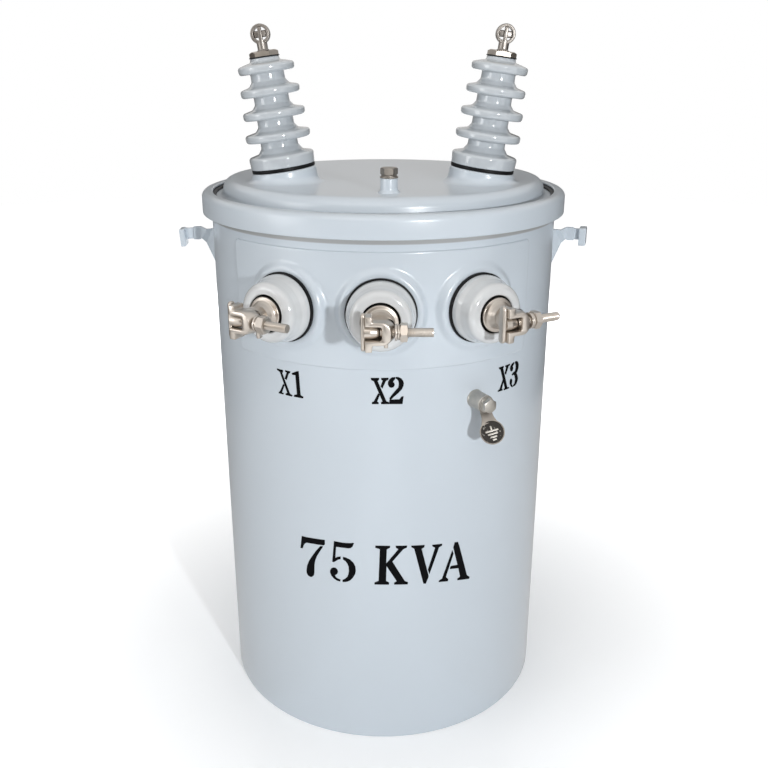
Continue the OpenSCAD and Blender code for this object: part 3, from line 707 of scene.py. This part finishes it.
class TRANSFORMER_OT_front_terminals(bpy.types.Operator):
    """Turn the three short porcelain bushings and cast their clamps, T-bolts and nuts"""

    bl_idname = "transformer.front_terminals"
    bl_label = "Front terminals"

    def execute(self, context):
        s = sizes(context)
        # Distances from the tank's axis, then the clamp's half sizes round its bolt.
        seat, gasket_out, face, bolt_out = 276.0, 281.0, 320.0, 363.0
        hole, deep = 26.2, 18.0
        left, right, half, gap, past, depth, edge, nose_out = 19.0, 18.5, 15.0, 9.2, 2.5, 11.0, 1.4, 14
        porcelain = [(0, 240), (30, 240, 2), (30, gasket_out), (47.5, gasket_out, 1.8), (47.3, gasket_out + 9, 8),
                     (44.4, gasket_out + 16, 10), (42.6, gasket_out + 26, 6), (41.6, face, 9), (hole + 1.2, face, 1.4),
                     (hole, face - 2), (hole, face - deep), (0, face - deep)]
        stud = [(0, face - deep), (14, face - deep), (14, face - 4), (23.8, face - 4), (23.8, face + 2, 1.4),
                (19, face + 2.6, 2), (16.6, face + 7, 5), (14.6, face + 14, 6), (14.6, face + 16), (0, face + 16)]

        def body(inset, nose):
            """Outline of the clamp's U seen along the terminal, drawn in at its rounded edges."""
            t, b, n = half - inset, gap + inset, nose - inset
            back, ear, slot = inset - left, 9 - left - inset, past + inset
            return rounded([(back, t + 7, 1.2), (ear, t + 7, 1.6), (ear, t, 2.4), (n, t, 12.5), (n, -t, 10.5),
                            (ear, -t, 2.4), (ear, -t - 9, 1.6), (back, -t - 9, 1.2), (back, -b, 1), (slot, -b, 4),
                            (slot, b, 4), (back, b, 1)], True)

        def squared(value, power):
            return math.copysign(abs(value) ** power, value)

        # The neck swells from the round stud to the squarer back of the clamp.
        neck = []
        for t in (k / 6 for k in range(7)):
            power = 2 / (2 + 2.2 * t)
            neck.append([(2.4 * t + (14.4 + 1.6 * t) * squared(math.cos(a), power),
                          (14.4 + 0.4 * t) * squared(math.sin(a), power), face + 13 + 20 * t)
                         for a in (math.pi * (k + 0.5) / 36 for k in range(72))])
        cast = [[(x, y, bolt_out + z) for x, y in body(inset, nose)] for z, inset, nose in (
            (-depth, edge, right), (-depth + 0.4, 0.5, right), (-depth + edge, 0, right), (-3, 0, right),
            (depth - edge, 0, nose_out), (depth - 0.4, 0.5, nose_out), (depth, edge, nose_out))]

        for i in TERMINALS:
            place = on_wall(terminal_angle(i), cad("lv_gasket_" + i)[2].z)
            piece("front_gasket_" + i, ring_bar(49.5, 30, seat, gasket_out, 1.2), RUBBER, "lv_gasket_" + i, place=place)
            bm = disc_bar(porcelain, 112, 8)
            # The walls and floor of the recess round the stud take the black rubber: partly the seal round the stud,
            # partly painted shade that makes the deep, narrow gap black.
            for part in bm.faces:
                middle = part.calc_center_median()
                part.material_index = int(middle.z > face - deep - 1 and math.hypot(middle.x, middle.y) < hole + 0.05)
            piece("front_porcelain_" + i, bm, (PALE_GLAZE, RUBBER), "lv_bushing_" + i, place=place, sharp=50)

            bm = disc_bar(stud, 72)
            moved(bm, skin(neck))
            moved(bm, skin(cast, capped=True))
            moved(bm, block((4.5, -26.5, face + 20), (10, -6, face + 28), 1.6))
            moved(bm, block((-2, -3, -12), (2, 3, 12), 1),
                  Matrix.Translation((7, 9.5, face + 21)) @ Matrix.Rotation(math.radians(28), 4, "Y"))
            piece("front_clamp_" + i, bm, BRONZE, "lv_clamp_" + i, place=place)

            along = place @ Matrix.Translation((0, 0, bolt_out)) @ ALONG_X
            bar = rounded([(-6, -25, 5.4), (6, -25, 5.4), (6, 25, 5.4), (-6, 25, 5.4)], True)
            bm = pressed(bar, -24.5, -19, 2.2, 4)
            moved(bm, disc_bar([(0, -20), (8.7, -20), (8.7, -12, 7), (6.8, -1.5, 5), (0, 0)], 48))
            moved(bm, threaded(6, 0, 67.5, s.thread_pitch, s.thread_depth))
            piece("front_t_bolt_" + i, bm, BRONZE, "lv_tbolt_" + i, place=along)
            bm = ring_bar(11, 6.1, right, right + 3, 0.7)
            moved(bm, ring_bar(10, 6.1, right + 3.2, right + 6.3, 0.7))
            moved(bm, hexagon(25.4, right + 6.5, right + 16.5, bore=5.6), Matrix.Rotation(math.pi / 6, 4, "Z"))
            piece("front_nut_" + i, bm, BRONZE, "lv_nut_" + i, place=along)
        return {"FINISHED"}


class TRANSFORMER_OT_ground(bpy.types.Operator):
    """Turn the ground boss and bolt and bend the strap with its round earth tag"""

    bl_idname = "transformer.ground"
    bl_label = "Ground terminal"

    def execute(self, context):
        place = on_wall(math.radians(30), cad("ground_boss")[2].z)
        end = 297.0
        bm = disc_bar([(0, 262), (13.6, 262), (13.6, 270.6, 0.4), (12.8, 272.5, 1.5), (12.8, end, 1), (0, end)])
        piece("ground_boss_turned", bm, STEEL, "ground_boss", place=place)
        bm = ring_bar(11.9, 5, end + 1.6, end + 2.6, 0.3)
        moved(bm, ring_bar(8.6, 5, end + 2.5, end + 5.2, 0.2))
        moved(bm, ring_bar(10.9, 5, end + 3.4, end + 4.5, 0.3))
        moved(bm, hexagon(22, end + 5, end + 12, chamfer_low=False))
        piece("ground_bolt_set", bm, STEEL, "ground_bolt", place=place)

        thick, bend, drop, lean, twist, disc = 1.6, 12.0, 30.0, math.radians(-36), math.radians(-24), 17.8
        eye, waist = 12, 9.4
        round_end = [(x, y) for x, y, _ in (polar(eye, math.pi * k / 24, 0) for k in range(25))]
        bm = pressed([(-eye, -2), (-waist, -bend - 0.3), (waist, -bend - 0.3), (eye, -2)] + round_end, 0, thick, 0.35)
        at_bend = Matrix.Translation((0, -bend, thick / 2))
        hang = at_bend @ Matrix.Rotation(lean, 4, "X") @ Matrix.Translation((0, 0, -thick / 2))
        fold = disc_bar([(0, -waist), (1.1, -waist, 0.3), (1.1, waist, 0.3), (0, waist)], 24)
        moved(bm, fold, at_bend @ ALONG_X)
        # The strap twists on its way down, so the tag looks to the front rather than along the radius.
        rings = []
        for down, half, share in ((-0.4, waist, 0), (4, waist, 0.05), (8, 9.5, 0.3), (12, 10.2, 0.65), (16, 11.6, 0.9),
                                  (drop - 12, 12.6, 1)):
            turn = Matrix.Rotation(twist * share, 3, "Y")
            rings.append([turn @ Vector(corner) + Vector((0, -down, 0))
                          for corner in ((-half, 0, 0), (half, 0, 0), (half, 0, thick), (-half, 0, thick))])
        moved(bm, skin(rings), hang)
        tag = ring_bar(disc, disc - 1.5, 0, thick + 0.5, 0.4)
        moved(tag, disc_bar([(0, 0), (disc - 1, 0), (disc - 1, thick), (0, thick)], 64))
        for face in tag.faces:
            middle = face.calc_center_median()
            face.material_index = int(math.hypot(middle.x, middle.y) < disc - 1.6 and middle.z > thick - 0.01)
        for low_x, low_y, high_x, high_y in ((-1.1, 3, 1.1, 9), (-9.4, 0.6, 9.4, 3), (-7.4, -3.8, 7.4, -1.4),
                                             (-4.8, -8.2, 4.8, -5.8), (-2.8, -12.4, 2.8, -10)):
            line = block((low_x, low_y, thick - 0.4), (high_x, high_y, thick + 0.5), 0.25, 2)
            for face in line.faces:
                face.material_index = 2
            moved(tag, line)
        moved(bm, tag, hang @ Matrix.Translation((0, -drop, 0)) @ Matrix.Rotation(twist, 4, "Y"))
        piece("ground_tag_strap", bm, (DARK_STEEL, TAG_FIELD, STEEL), "ground_tag",
              place=place @ Matrix.Translation((0, 0, end)))
        return {"FINISHED"}


class TRANSFORMER_OT_lugs(bpy.types.Operator):
    """Fold the two lifting lugs"""

    bl_idname = "transformer.lugs"
    bl_label = "Lifting lugs"

    def execute(self, context):
        high = cad("lifting_lug_r")[1]
        end = high.x - TANK_R - 6
        # Front face of the pleated plate as columns from the tank outwards: (out, forward, below the top).
        columns = [((-3, 17, 3), (-3, 9, 59)), ((1, 13.5, 2.8), (3.4, 6, 58.5)), ((4.6, 10, 2.6), (17.6, 3, 26)),
                   ((13.6, 13.5, 3), (24.4, 7, 18.6)), ((25, 3, 0.4), (25.6, 3, 21.6)), ((36, 7.5, 0), (36, 7.5, 21)),
                   ((36.8, 4, 2.2), (36.8, 4, 20)), ((44.5, 7, 2.4), (44.5, 7, 20)), ((end, 5, 2.4), (end, 5, 20))]
        for side, sign in SIDES.items():
            bm = skin([[(TANK_R + out, back - forward, high.z - below) for (out, forward, below), back
                        in ((top, 0), (bottom, 0), (bottom, PLATE), (top, PLATE))] for top, bottom in columns],
                      capped=True)
            bmesh.ops.recalc_face_normals(bm, faces=bm.faces)
            rim = [e for e in bm.edges if e.calc_face_angle(0) > math.radians(50)]
            bmesh.ops.bevel(bm, geom=rim, offset=0.9, segments=2, profile=0.5, affect="EDGES")
            # The turned-down end stands forward of the plate; the right one is bent round a little.
            wide, drop, turn, lean = (11.5, 0, -15, 0) if sign > 0 else (8.4, 2.6, -2, 4)
            moved(bm, block((-wide, -20, -drop - 28), (0, 6, -drop), 1.8), Matrix.Translation((high.x - 2, 0, high.z))
                  @ Matrix.Rotation(math.radians(turn), 4, "Z") @ Matrix.Rotation(math.radians(lean), 4, "Y"))
            piece("lug_" + side, bm, ENAMEL, "lifting_lug_" + side, place=Matrix.Scale(sign, 4, (1, 0, 0)), sharp=12)
        return {"FINISHED"}


class TRANSFORMER_OT_brackets(bpy.types.Operator):
    """Bend the two pole brackets and cut their slots"""

    bl_idname = "transformer.brackets"
    bl_label = "Pole brackets"

    def execute(self, context):
        bend = sizes(context).plate_bend
        width, tall, flare, least_cut_faces = 10.5, 11.5, 2.2, 40
        for name in ("hanger_upper", "hanger_lower"):
            low, high, centre = cad(name)
            half, face = high.x, high.y
            inner, inner_face = half - PLATE, face - PLATE
            root = math.sqrt(TANK_R ** 2 - half ** 2) - 2
            inner_bend = bend - PLATE
            outline = rounded([(half, root), (half, face, bend), (-half, face, bend), (-half, root), (-inner, root),
                               (-inner, inner_face, inner_bend), (inner, inner_face, inner_bend), (inner, root)], True)
            made = piece(name + "_plate", pressed(outline, low.z, high.z, 1.2), ENAMEL, name)
            rings = []
            for depth, wider in ((1, flare), (-1.2, 0), (-PLATE + 1.2, 0), (-PLATE - 1, flare)):
                w = width + wider
                points = rounded([(-w, -tall - w, w), (w, -tall - w, w), (w, tall + w, w), (-w, tall + w, w)], True, 10)
                rings.append([(x, face + depth, centre.z + y) for x, y in points])
            cutter = skin(rings, capped=True)
            bmesh.ops.remove_doubles(cutter, verts=cutter.verts, dist=1e-4)
            bmesh.ops.recalc_face_normals(cutter, faces=cutter.faces)
            tool = in_scene("slot_cutter", cutter)
            uncut = len(made.data.polygons)
            cut = made.modifiers.new("slot", "BOOLEAN")
            cut.object, cut.operation, cut.solver = tool, "DIFFERENCE", "EXACT"
            result = bpy.data.meshes.new_from_object(made.evaluated_get(context.evaluated_depsgraph_get()))
            made.modifiers.clear()
            made.data = result
            bpy.data.objects.remove(tool)
            if len(result.polygons) <= uncut + least_cut_faces:
                raise RuntimeError("no slot was cut in " + name)
        return {"FINISHED"}


# Outlines of the stencilled marks, with the stencil's bridges open: (arc length from the front, height).
MARKS = {
    "mark_x1": (
        ((-160.7, 618), (-148.9, 617.6), (-149.4, 614.1), (-150.7, 612.9), (-138, 583.6), (-133.6, 581.8),
         (-134.7, 579.5), (-146.3, 580), (-145.7, 582.3), (-143, 583.9), (-155.2, 613.7), (-159.9, 615.4)),
        ((-145.4, 618.2), (-135.8, 617.9), (-136.8, 615.2), (-138.9, 614.1), (-143.2, 603.5), (-146.8, 605),
         (-142.6, 615), (-145.3, 615.6)),
        ((-149.7, 596.5), (-147.4, 594.5), (-152.6, 582.5), (-149.3, 582.4), (-150, 579.9), (-159.2, 580),
         (-158.5, 582.2), (-156.3, 583.9)),
        ((-133.9, 615.5), (-125.5, 619.8), (-121.8, 620.7), (-119.8, 584.4), (-115.2, 582.8), (-115.7, 580),
         (-131.6, 580.1), (-131, 582.9), (-126, 584.7), (-127.7, 613.6), (-132.7, 613.2)),
    ),
    "mark_x2": (
        ((-14.7, 620.3), (-2.7, 620.5), (-3.2, 617.3), (-4.9, 615.7), (7.4, 585.4), (11.2, 584.1), (11.2, 581.3),
         (-0.1, 581.3), (-0.5, 584.1), (1.8, 585.2), (-10.4, 615.3), (-14, 617)),
        ((-0.2, 620.5), (10.4, 620.7), (10.1, 617.7), (6.7, 616), (1.7, 604.6), (-1, 607.8), (2.1, 616.6),
         (0.1, 617.4)),
        ((-4.1, 598), (-2, 595), (-5.5, 585.1), (-3.4, 583.6), (-3.7, 581.3), (-13.2, 581.1), (-13.2, 584.1),
         (-10.5, 585.2)),
        ((19.7, 621.5), (19.7, 618.9), (17, 615.5), (16.6, 614.3), (18.2, 613.1), (19, 610), (17.4, 606.7),
         (14.2, 605.6), (11.1, 607), (9.3, 610.6), (9.5, 614.9), (11.6, 618.6), (15, 621.3)),
        ((20.2, 621.7), (24, 621.6), (28.1, 619.4), (30.8, 615.7), (31.7, 612), (31.1, 607.8), (29.1, 603.1),
         (24.5, 598), (18, 592.3), (12.8, 586.9), (11.4, 590.1), (13.8, 593.8), (19.2, 600.7), (23.9, 606.1),
         (24.6, 611.6), (23.8, 615.9), (21.8, 618.5), (20.2, 619.2)),
        ((11.5, 588.1), (25.4, 588.3), (28.6, 592.3), (31.5, 592.8), (30.1, 581), (11.3, 581.3)),
    ),
    "mark_x3": (
        ((184.1, 615.5), (194.5, 616.1), (195.3, 613.5), (193.7, 612.7), (205.3, 579.9), (208.8, 579.9),
         (209.7, 577.3), (197.5, 577.1), (196.7, 579.5), (199.4, 580.1), (187.9, 611.7), (185.3, 612.9)),
        ((197.6, 615.6), (208.8, 616.2), (208.9, 613.8), (205.9, 613.2), (200.4, 600.4), (197.6, 604.2),
         (200.3, 612.7), (198.4, 613.2)),
        ((193.9, 594.9), (196, 591.9), (193.2, 580.4), (194.9, 579.5), (194.4, 577.6), (184.4, 577.5), (184.5, 579.8),
         (187.8, 581)),
        ((218.3, 616.8), (219.7, 614.3), (215.9, 610.4), (217.2, 607.2), (216.1, 603.9), (213.4, 602.7),
         (210.6, 604.4), (209.1, 608.1), (210, 611.9), (213.1, 615.1)),
        ((220.8, 616.6), (225, 616.6), (228.4, 614.4), (231, 609.9), (230.7, 604.2), (228.2, 599.2), (226.3, 597),
         (228.8, 593.6), (231.1, 587.2), (228.4, 580.7), (224.3, 577.8), (218.7, 577.5), (218.5, 579.2),
         (222.2, 582.2), (223.2, 587.7), (221.6, 593.3), (219.3, 596.4), (215.6, 595.8), (213.9, 597.6),
         (217.2, 600.3), (221.7, 601.5), (223, 606.1), (222.8, 610.7), (221, 614.2)),
        ((213.8, 591.7), (216.3, 588.2), (215.9, 585), (215.5, 582.3), (218.6, 578.3), (217.1, 576.6), (213.3, 579.5),
         (210.3, 584.2), (210.3, 588.7), (211.2, 591.4)),
    ),
    "mark_rating": (
        ((-126.3, 353.9), (-119.8, 353.7), (-86.9, 355.7), (-86.9, 348.1), (-89.1, 345.9), (-117.8, 344.2),
         (-121.6, 341.4), (-123.7, 337.6), (-125.2, 332.5), (-129.5, 331.8), (-128.6, 338.2)),
        ((-94.7, 343.7), (-90.4, 344), (-90.9, 342.2), (-100.6, 325.3), (-103.8, 317.2), (-105.5, 308),
         (-105.9, 295.6), (-106.9, 289.9), (-110.4, 285.9), (-113.6, 285), (-117.7, 286.7), (-119.6, 290.3),
         (-120, 294.7), (-118.5, 304), (-115.1, 312.9), (-109.6, 322.2), (-102.4, 333.5)),
        ((-72.2, 356.4), (-58.8, 355.5), (-47.3, 356), (-43, 357.1), (-41, 356.6), (-43.3, 350.6), (-46.1, 347.8),
         (-49.6, 346.8), (-69, 347), (-70.6, 327.6), (-66.6, 330.3), (-62.2, 331.3), (-62, 326.8), (-66.3, 325),
         (-69.9, 322.5), (-72.9, 319.6), (-75.7, 320.3)),
        ((-58.5, 331.1), (-53.7, 330.6), (-47.5, 327.9), (-42.1, 322.5), (-39.5, 316.7), (-38.8, 309.7), (-40, 303.4),
         (-43.2, 296.9), (-47.6, 291.5), (-52.7, 288.5), (-59.7, 286.8), (-59.9, 290.8), (-55.6, 293.5),
         (-52.5, 296.9), (-50.6, 301.5), (-49.6, 307.7), (-49.9, 314.6), (-51.8, 320.4), (-54.8, 324.3),
         (-58.7, 326.6)),
        ((-73.5, 310.5), (-70.2, 310.2), (-67.5, 307.4), (-66.8, 303.5), (-68.3, 299.6), (-71.9, 297.1),
         (-70.1, 293.9), (-67, 292.1), (-63, 290.9), (-63.6, 287.2), (-68.8, 288.1), (-73.6, 290.8), (-77.6, 295.4),
         (-79.6, 300.4), (-79.5, 304.5), (-77.3, 308.5)),
        ((-9.1, 354.5), (13.2, 354.2), (12.9, 350.8), (8.2, 348), (7.4, 324.1), (25.5, 347.9), (21.6, 350.8),
         (21.3, 354.1), (38.9, 353.3), (38.4, 349.8), (32.9, 347.4), (16.6, 327), (35.6, 292.3), (40.6, 289.7),
         (40.3, 285.9), (19.5, 286.8), (19.2, 289.9), (23.2, 292.7), (7.8, 319.5), (7.2, 293.5), (11.8, 290.8),
         (11.5, 287), (-10.5, 287.1), (-10.5, 290.7), (-4.3, 293.5), (-2.2, 348.4), (-9.1, 350.7)),
        ((44.9, 352.7), (65.7, 351.6), (65.1, 347.7), (61, 345.3), (72.9, 296.9), (72.3, 293.6), (68.5, 283.7),
         (64.7, 284.3), (49.6, 346.8), (45.1, 349.9)),
        ((77.3, 350.1), (93.8, 349.1), (93.4, 345.8), (88.7, 343.9), (73.9, 299.2), (71.4, 307.8), (82.2, 344.2),
         (77.7, 347.4)),
        ((112.4, 338.4), (114.7, 347.1), (120.3, 346.5), (123.2, 338.1), (138.6, 283), (143.9, 278.2), (143.2, 274.9),
         (121.5, 278.6), (121.1, 281.5), (126, 283.7), (122.4, 299.9), (107.7, 302), (107.9, 305.8), (110.6, 307.1),
         (120.7, 306.2)),
        ((110.8, 334.5), (113.3, 327.9), (101.2, 289.2), (105.4, 284.9), (105, 281.1), (89.4, 282.8), (89.8, 285.7),
         (94.7, 287.9)),
    ),
}


class TRANSFORMER_OT_marks(bpy.types.Operator):
    """Stencil the terminal marks and the rating on the tank"""

    bl_idname = "transformer.marks"
    bl_label = "Stencilled marks"

    def execute(self, context):
        outside, inside, longest = TANK_R + sizes(context).ink, TANK_R - 0.3, 7
        for name, outlines in MARKS.items():
            bm = bmesh.new()
            for outline in outlines:
                part = bmesh.new()
                face = part.faces.new([part.verts.new((x, y, inside)) for x, y in outline])
                bmesh.ops.triangulate(part, faces=[face])
                # Long edges are halved, so that the ink follows the round wall.
                for _ in range(4):
                    long_edges = [e for e in part.edges if e.calc_length() > longest]
                    if long_edges:
                        bmesh.ops.subdivide_edges(part, edges=long_edges, cuts=1)
                        bmesh.ops.triangulate(part, faces=part.faces)
                for vert in raised(part, part.faces[:]):
                    vert.co.z = outside
                for vert in part.verts:
                    vert.co = wrapped(vert.co.x, vert.co.y, TANK_R, vert.co.z)
                moved(bm, part)
            piece(name, bm, INK, sharp=40)
        return {"FINISHED"}


# Grey cards that only mirrors see, round the object, give gloss and metal darker parts: name, place and size in
# metres, tone.
CARDS = (
    ("card_rear", (0.0, -3.4, 1.2), (6.0, 3.0), "#b0aca6"),
    ("card_low", (0.0, -2.6, 0.25), (3.6, 0.7), "#605b55"),
    ("card_back", (0.0, 3.4, 1.9), (6.0, 2.6), "#d8d6d4"),
    ("card_left", (-1.15, 0.55, 0.6), (3.0, 1.4), "#5c5956"),
    ("card_right", (1.15, 0.6, 0.6), (3.0, 1.4), "#5c5956"),
    ("card_floor_left", (-0.95, 0.4, 0.004), (1.5, 4.0), "#94918e"),
    ("card_floor_right", (0.95, 0.4, 0.004), (1.5, 4.0), "#c0bdba"),
)
# Soft lamps: name, place and size in metres, watts, tint, and whether gloss and metal mirror them.
LAMPS = (
    ("key", (1.0, -2.4, 1.12), (0.1, 0.13), 33, "#fbfdff", True),
    ("side", (-2.5, -1.1, 1.1), (1.8, 1.4), 23, "#ffffff", True),
    ("top", (-0.3, -2.0, 2.4), (2.4, 0.8), 8, "#fff8f0", True),
    ("sky", (0.0, -0.5, 3.2), (2.0, 2.0), 20, "#fffaf5", False),
    ("back", (0.0, 2.8, 0.75), (2.4, 1.0), 42, "#ffffff", False),
)


class TRANSFORMER_OT_stage(bpy.types.Operator):
    """Set up the floor, the white surround, the lamps and the camera"""

    bl_idname = "transformer.stage"
    bl_label = "Stage"

    @staticmethod
    def seen(tree):
        """1 for rays that show the surround: from the camera, or by way of a mirror or glass."""
        rays = add(tree, "ShaderNodeLightPath")
        total = rays.outputs["Is Camera Ray"]
        for kind in ("Is Glossy Ray", "Is Transmission Ray"):
            total = add(tree, "ShaderNodeMath", {"operation": "MAXIMUM"}, {0: total, 1: rays.outputs[kind]}).outputs[0]
        return total

    @staticmethod
    def aim(thing, place):
        """Puts a lamp or card in its place and turns its face to the middle of the object."""
        thing.location = place
        thing.rotation_euler = (Vector((0, 0, 0.55)) - Vector(place)).to_track_quat("-Z", "Y").to_euler()

    @staticmethod
    def set_up(name, bm, material):
        """Makes a piece of the stage from a mesh in metres."""
        made = in_scene(name, bm, 1.0)
        made.data.materials.append(material)
        return made

    def execute(self, context):
        scene = context.scene
        scene.view_settings.view_transform = "Standard"
        white = (1, 1, 1, 1)
        world = bpy.data.worlds.new("Studio surround")
        scene.world = world
        world.use_nodes = True
        tree = world.node_tree
        tree.nodes.clear()
        strength = add(tree, "ShaderNodeMapRange", {3: 0.15, 4: 1.0}, {0: self.seen(tree)})
        back = add(tree, "ShaderNodeBackground", {"Color": white}, {"Strength": strength.outputs[0]})
        add(tree, "ShaderNodeOutputWorld", None, {"Surface": back.outputs[0]})

        # Seamless white paper: white to the eye and in the metal, with the soft shadow of what stands on it. Its
        # glow is weaker round the foot, where that shadow has to show.
        paper, tree, bsdf = mixed("Seamless paper", {"Base Color": linear("#eceef0"), "Roughness": 0.9,
                                                     "Emission Color": white})
        along = add(tree, "ShaderNodeTexCoord").outputs["Object"]
        away = add(tree, "ShaderNodeVectorMath", {"operation": "LENGTH"}, {0: along}).outputs["Value"]
        share = add(tree, "ShaderNodeMapRange", {1: 0.3, 2: 1.2, 3: 0.2, 4: 0.92}, {0: away}).outputs[0]
        glow = add(tree, "ShaderNodeMath", {"operation": "MULTIPLY"}, {0: self.seen(tree), 1: share})
        tree.links.new(glow.outputs[0], bsdf.inputs["Emission Strength"])
        floor = self.set_up("floor", turned([(0, 0), (1.2, 0), (6, 0)]), paper)
        floor.location.z = -0.0005

        for name, place, (wide, tall), tone in CARDS:
            card, tree, bsdf = mixed(name, {"Base Color": (0, 0, 0, 1), "Specular IOR Level": 0,
                                            "Emission Color": linear(tone), "Emission Strength": 1})
            rows = [[(x * wide / 2, y * tall / 2, 0) for x in (-1, 1)] for y in (-1, 1)]
            made = self.set_up(name, skin(rows, closed_ring=False), card)
            self.aim(made, place)
            # Those that lie on the floor fade to white toward the front.
            if "floor" in name:
                made.rotation_euler = (0, 0, 0)
                along = add(tree, "ShaderNodeTexCoord").outputs["Object"]
                depth = add(tree, "ShaderNodeSeparateXYZ", None, {0: along}).outputs["Y"]
                share = add(tree, "ShaderNodeMapRange", {1: -1.6, 2: 0.2}, {0: depth}).outputs[0]
                fade = add(tree, "ShaderNodeMix", {"data_type": "RGBA", 6: white, 7: linear(tone)}, {0: share})
                tree.links.new(fade.outputs[2], bsdf.inputs["Emission Color"])
            made.visible_camera = made.visible_diffuse = made.visible_shadow = False

        for name, place, size, power, tint, mirrored in LAMPS:
            data = bpy.data.lights.new(name, "AREA")
            data.shape = "RECTANGLE"
            data.size, data.size_y = size
            data.energy = power
            data.color = linear(tint)[:3]
            lamp = bpy.data.objects.new(name, data)
            scene.collection.objects.link(lamp)
            lamp.visible_glossy = mirrored
            self.aim(lamp, place)

        data = bpy.data.cameras.new("camera")
        data.sensor_width = 36
        data.lens = 42.02
        data.shift_x = 0.0008
        data.clip_start = 0.05
        camera = bpy.data.objects.new("camera", data)
        camera.location = (0.0164, -1.4457, 1.0394)
        camera.rotation_euler = (math.radians(70.0), 0, math.radians(0.65))
        scene.collection.objects.link(camera)
        scene.camera = camera
        return {"FINISHED"}


STEPS = (TRANSFORMER_OT_finishes, TRANSFORMER_OT_tank, TRANSFORMER_OT_terminal_plate, TRANSFORMER_OT_cover,
         TRANSFORMER_OT_band, TRANSFORMER_OT_cover_bolt, TRANSFORMER_OT_tall_bushings, TRANSFORMER_OT_front_terminals,
         TRANSFORMER_OT_ground, TRANSFORMER_OT_lugs, TRANSFORMER_OT_brackets, TRANSFORMER_OT_marks,
         TRANSFORMER_OT_stage)


class TRANSFORMER_PT_panel(bpy.types.Panel):
    """Lists the steps, sizes and colours of the transformer"""

    bl_idname = "TRANSFORMER_PT_panel"
    bl_label = "Pole Mounted Transformer"
    bl_space_type = "VIEW_3D"
    bl_region_type = "UI"
    bl_category = "Transformer"

    def draw(self, context):
        for step in STEPS:
            self.layout.operator(step.bl_idname)
        for group in (context.scene.transformer_sizes, context.scene.transformer_colours):
            box = self.layout.box()
            for key in type(group).__annotations__:
                box.prop(group, key)


CLASSES = (TRANSFORMER_PG_sizes, TRANSFORMER_PG_colours) + STEPS + (TRANSFORMER_PT_panel,)


def register():
    for cls in CLASSES:
        bpy.utils.register_class(cls)
    bpy.types.Scene.transformer_sizes = bpy.props.PointerProperty(type=TRANSFORMER_PG_sizes)
    bpy.types.Scene.transformer_colours = bpy.props.PointerProperty(type=TRANSFORMER_PG_colours)


def unregister():
    del bpy.types.Scene.transformer_sizes
    del bpy.types.Scene.transformer_colours
    for cls in reversed(CLASSES):
        bpy.utils.unregister_class(cls)


def main():
    register()
    for step in STEPS:
        getattr(bpy.ops.transformer, step.bl_idname.split(".")[1])()
    bpy.context.view_layer.update()


if __name__ == "__main__":
    main()
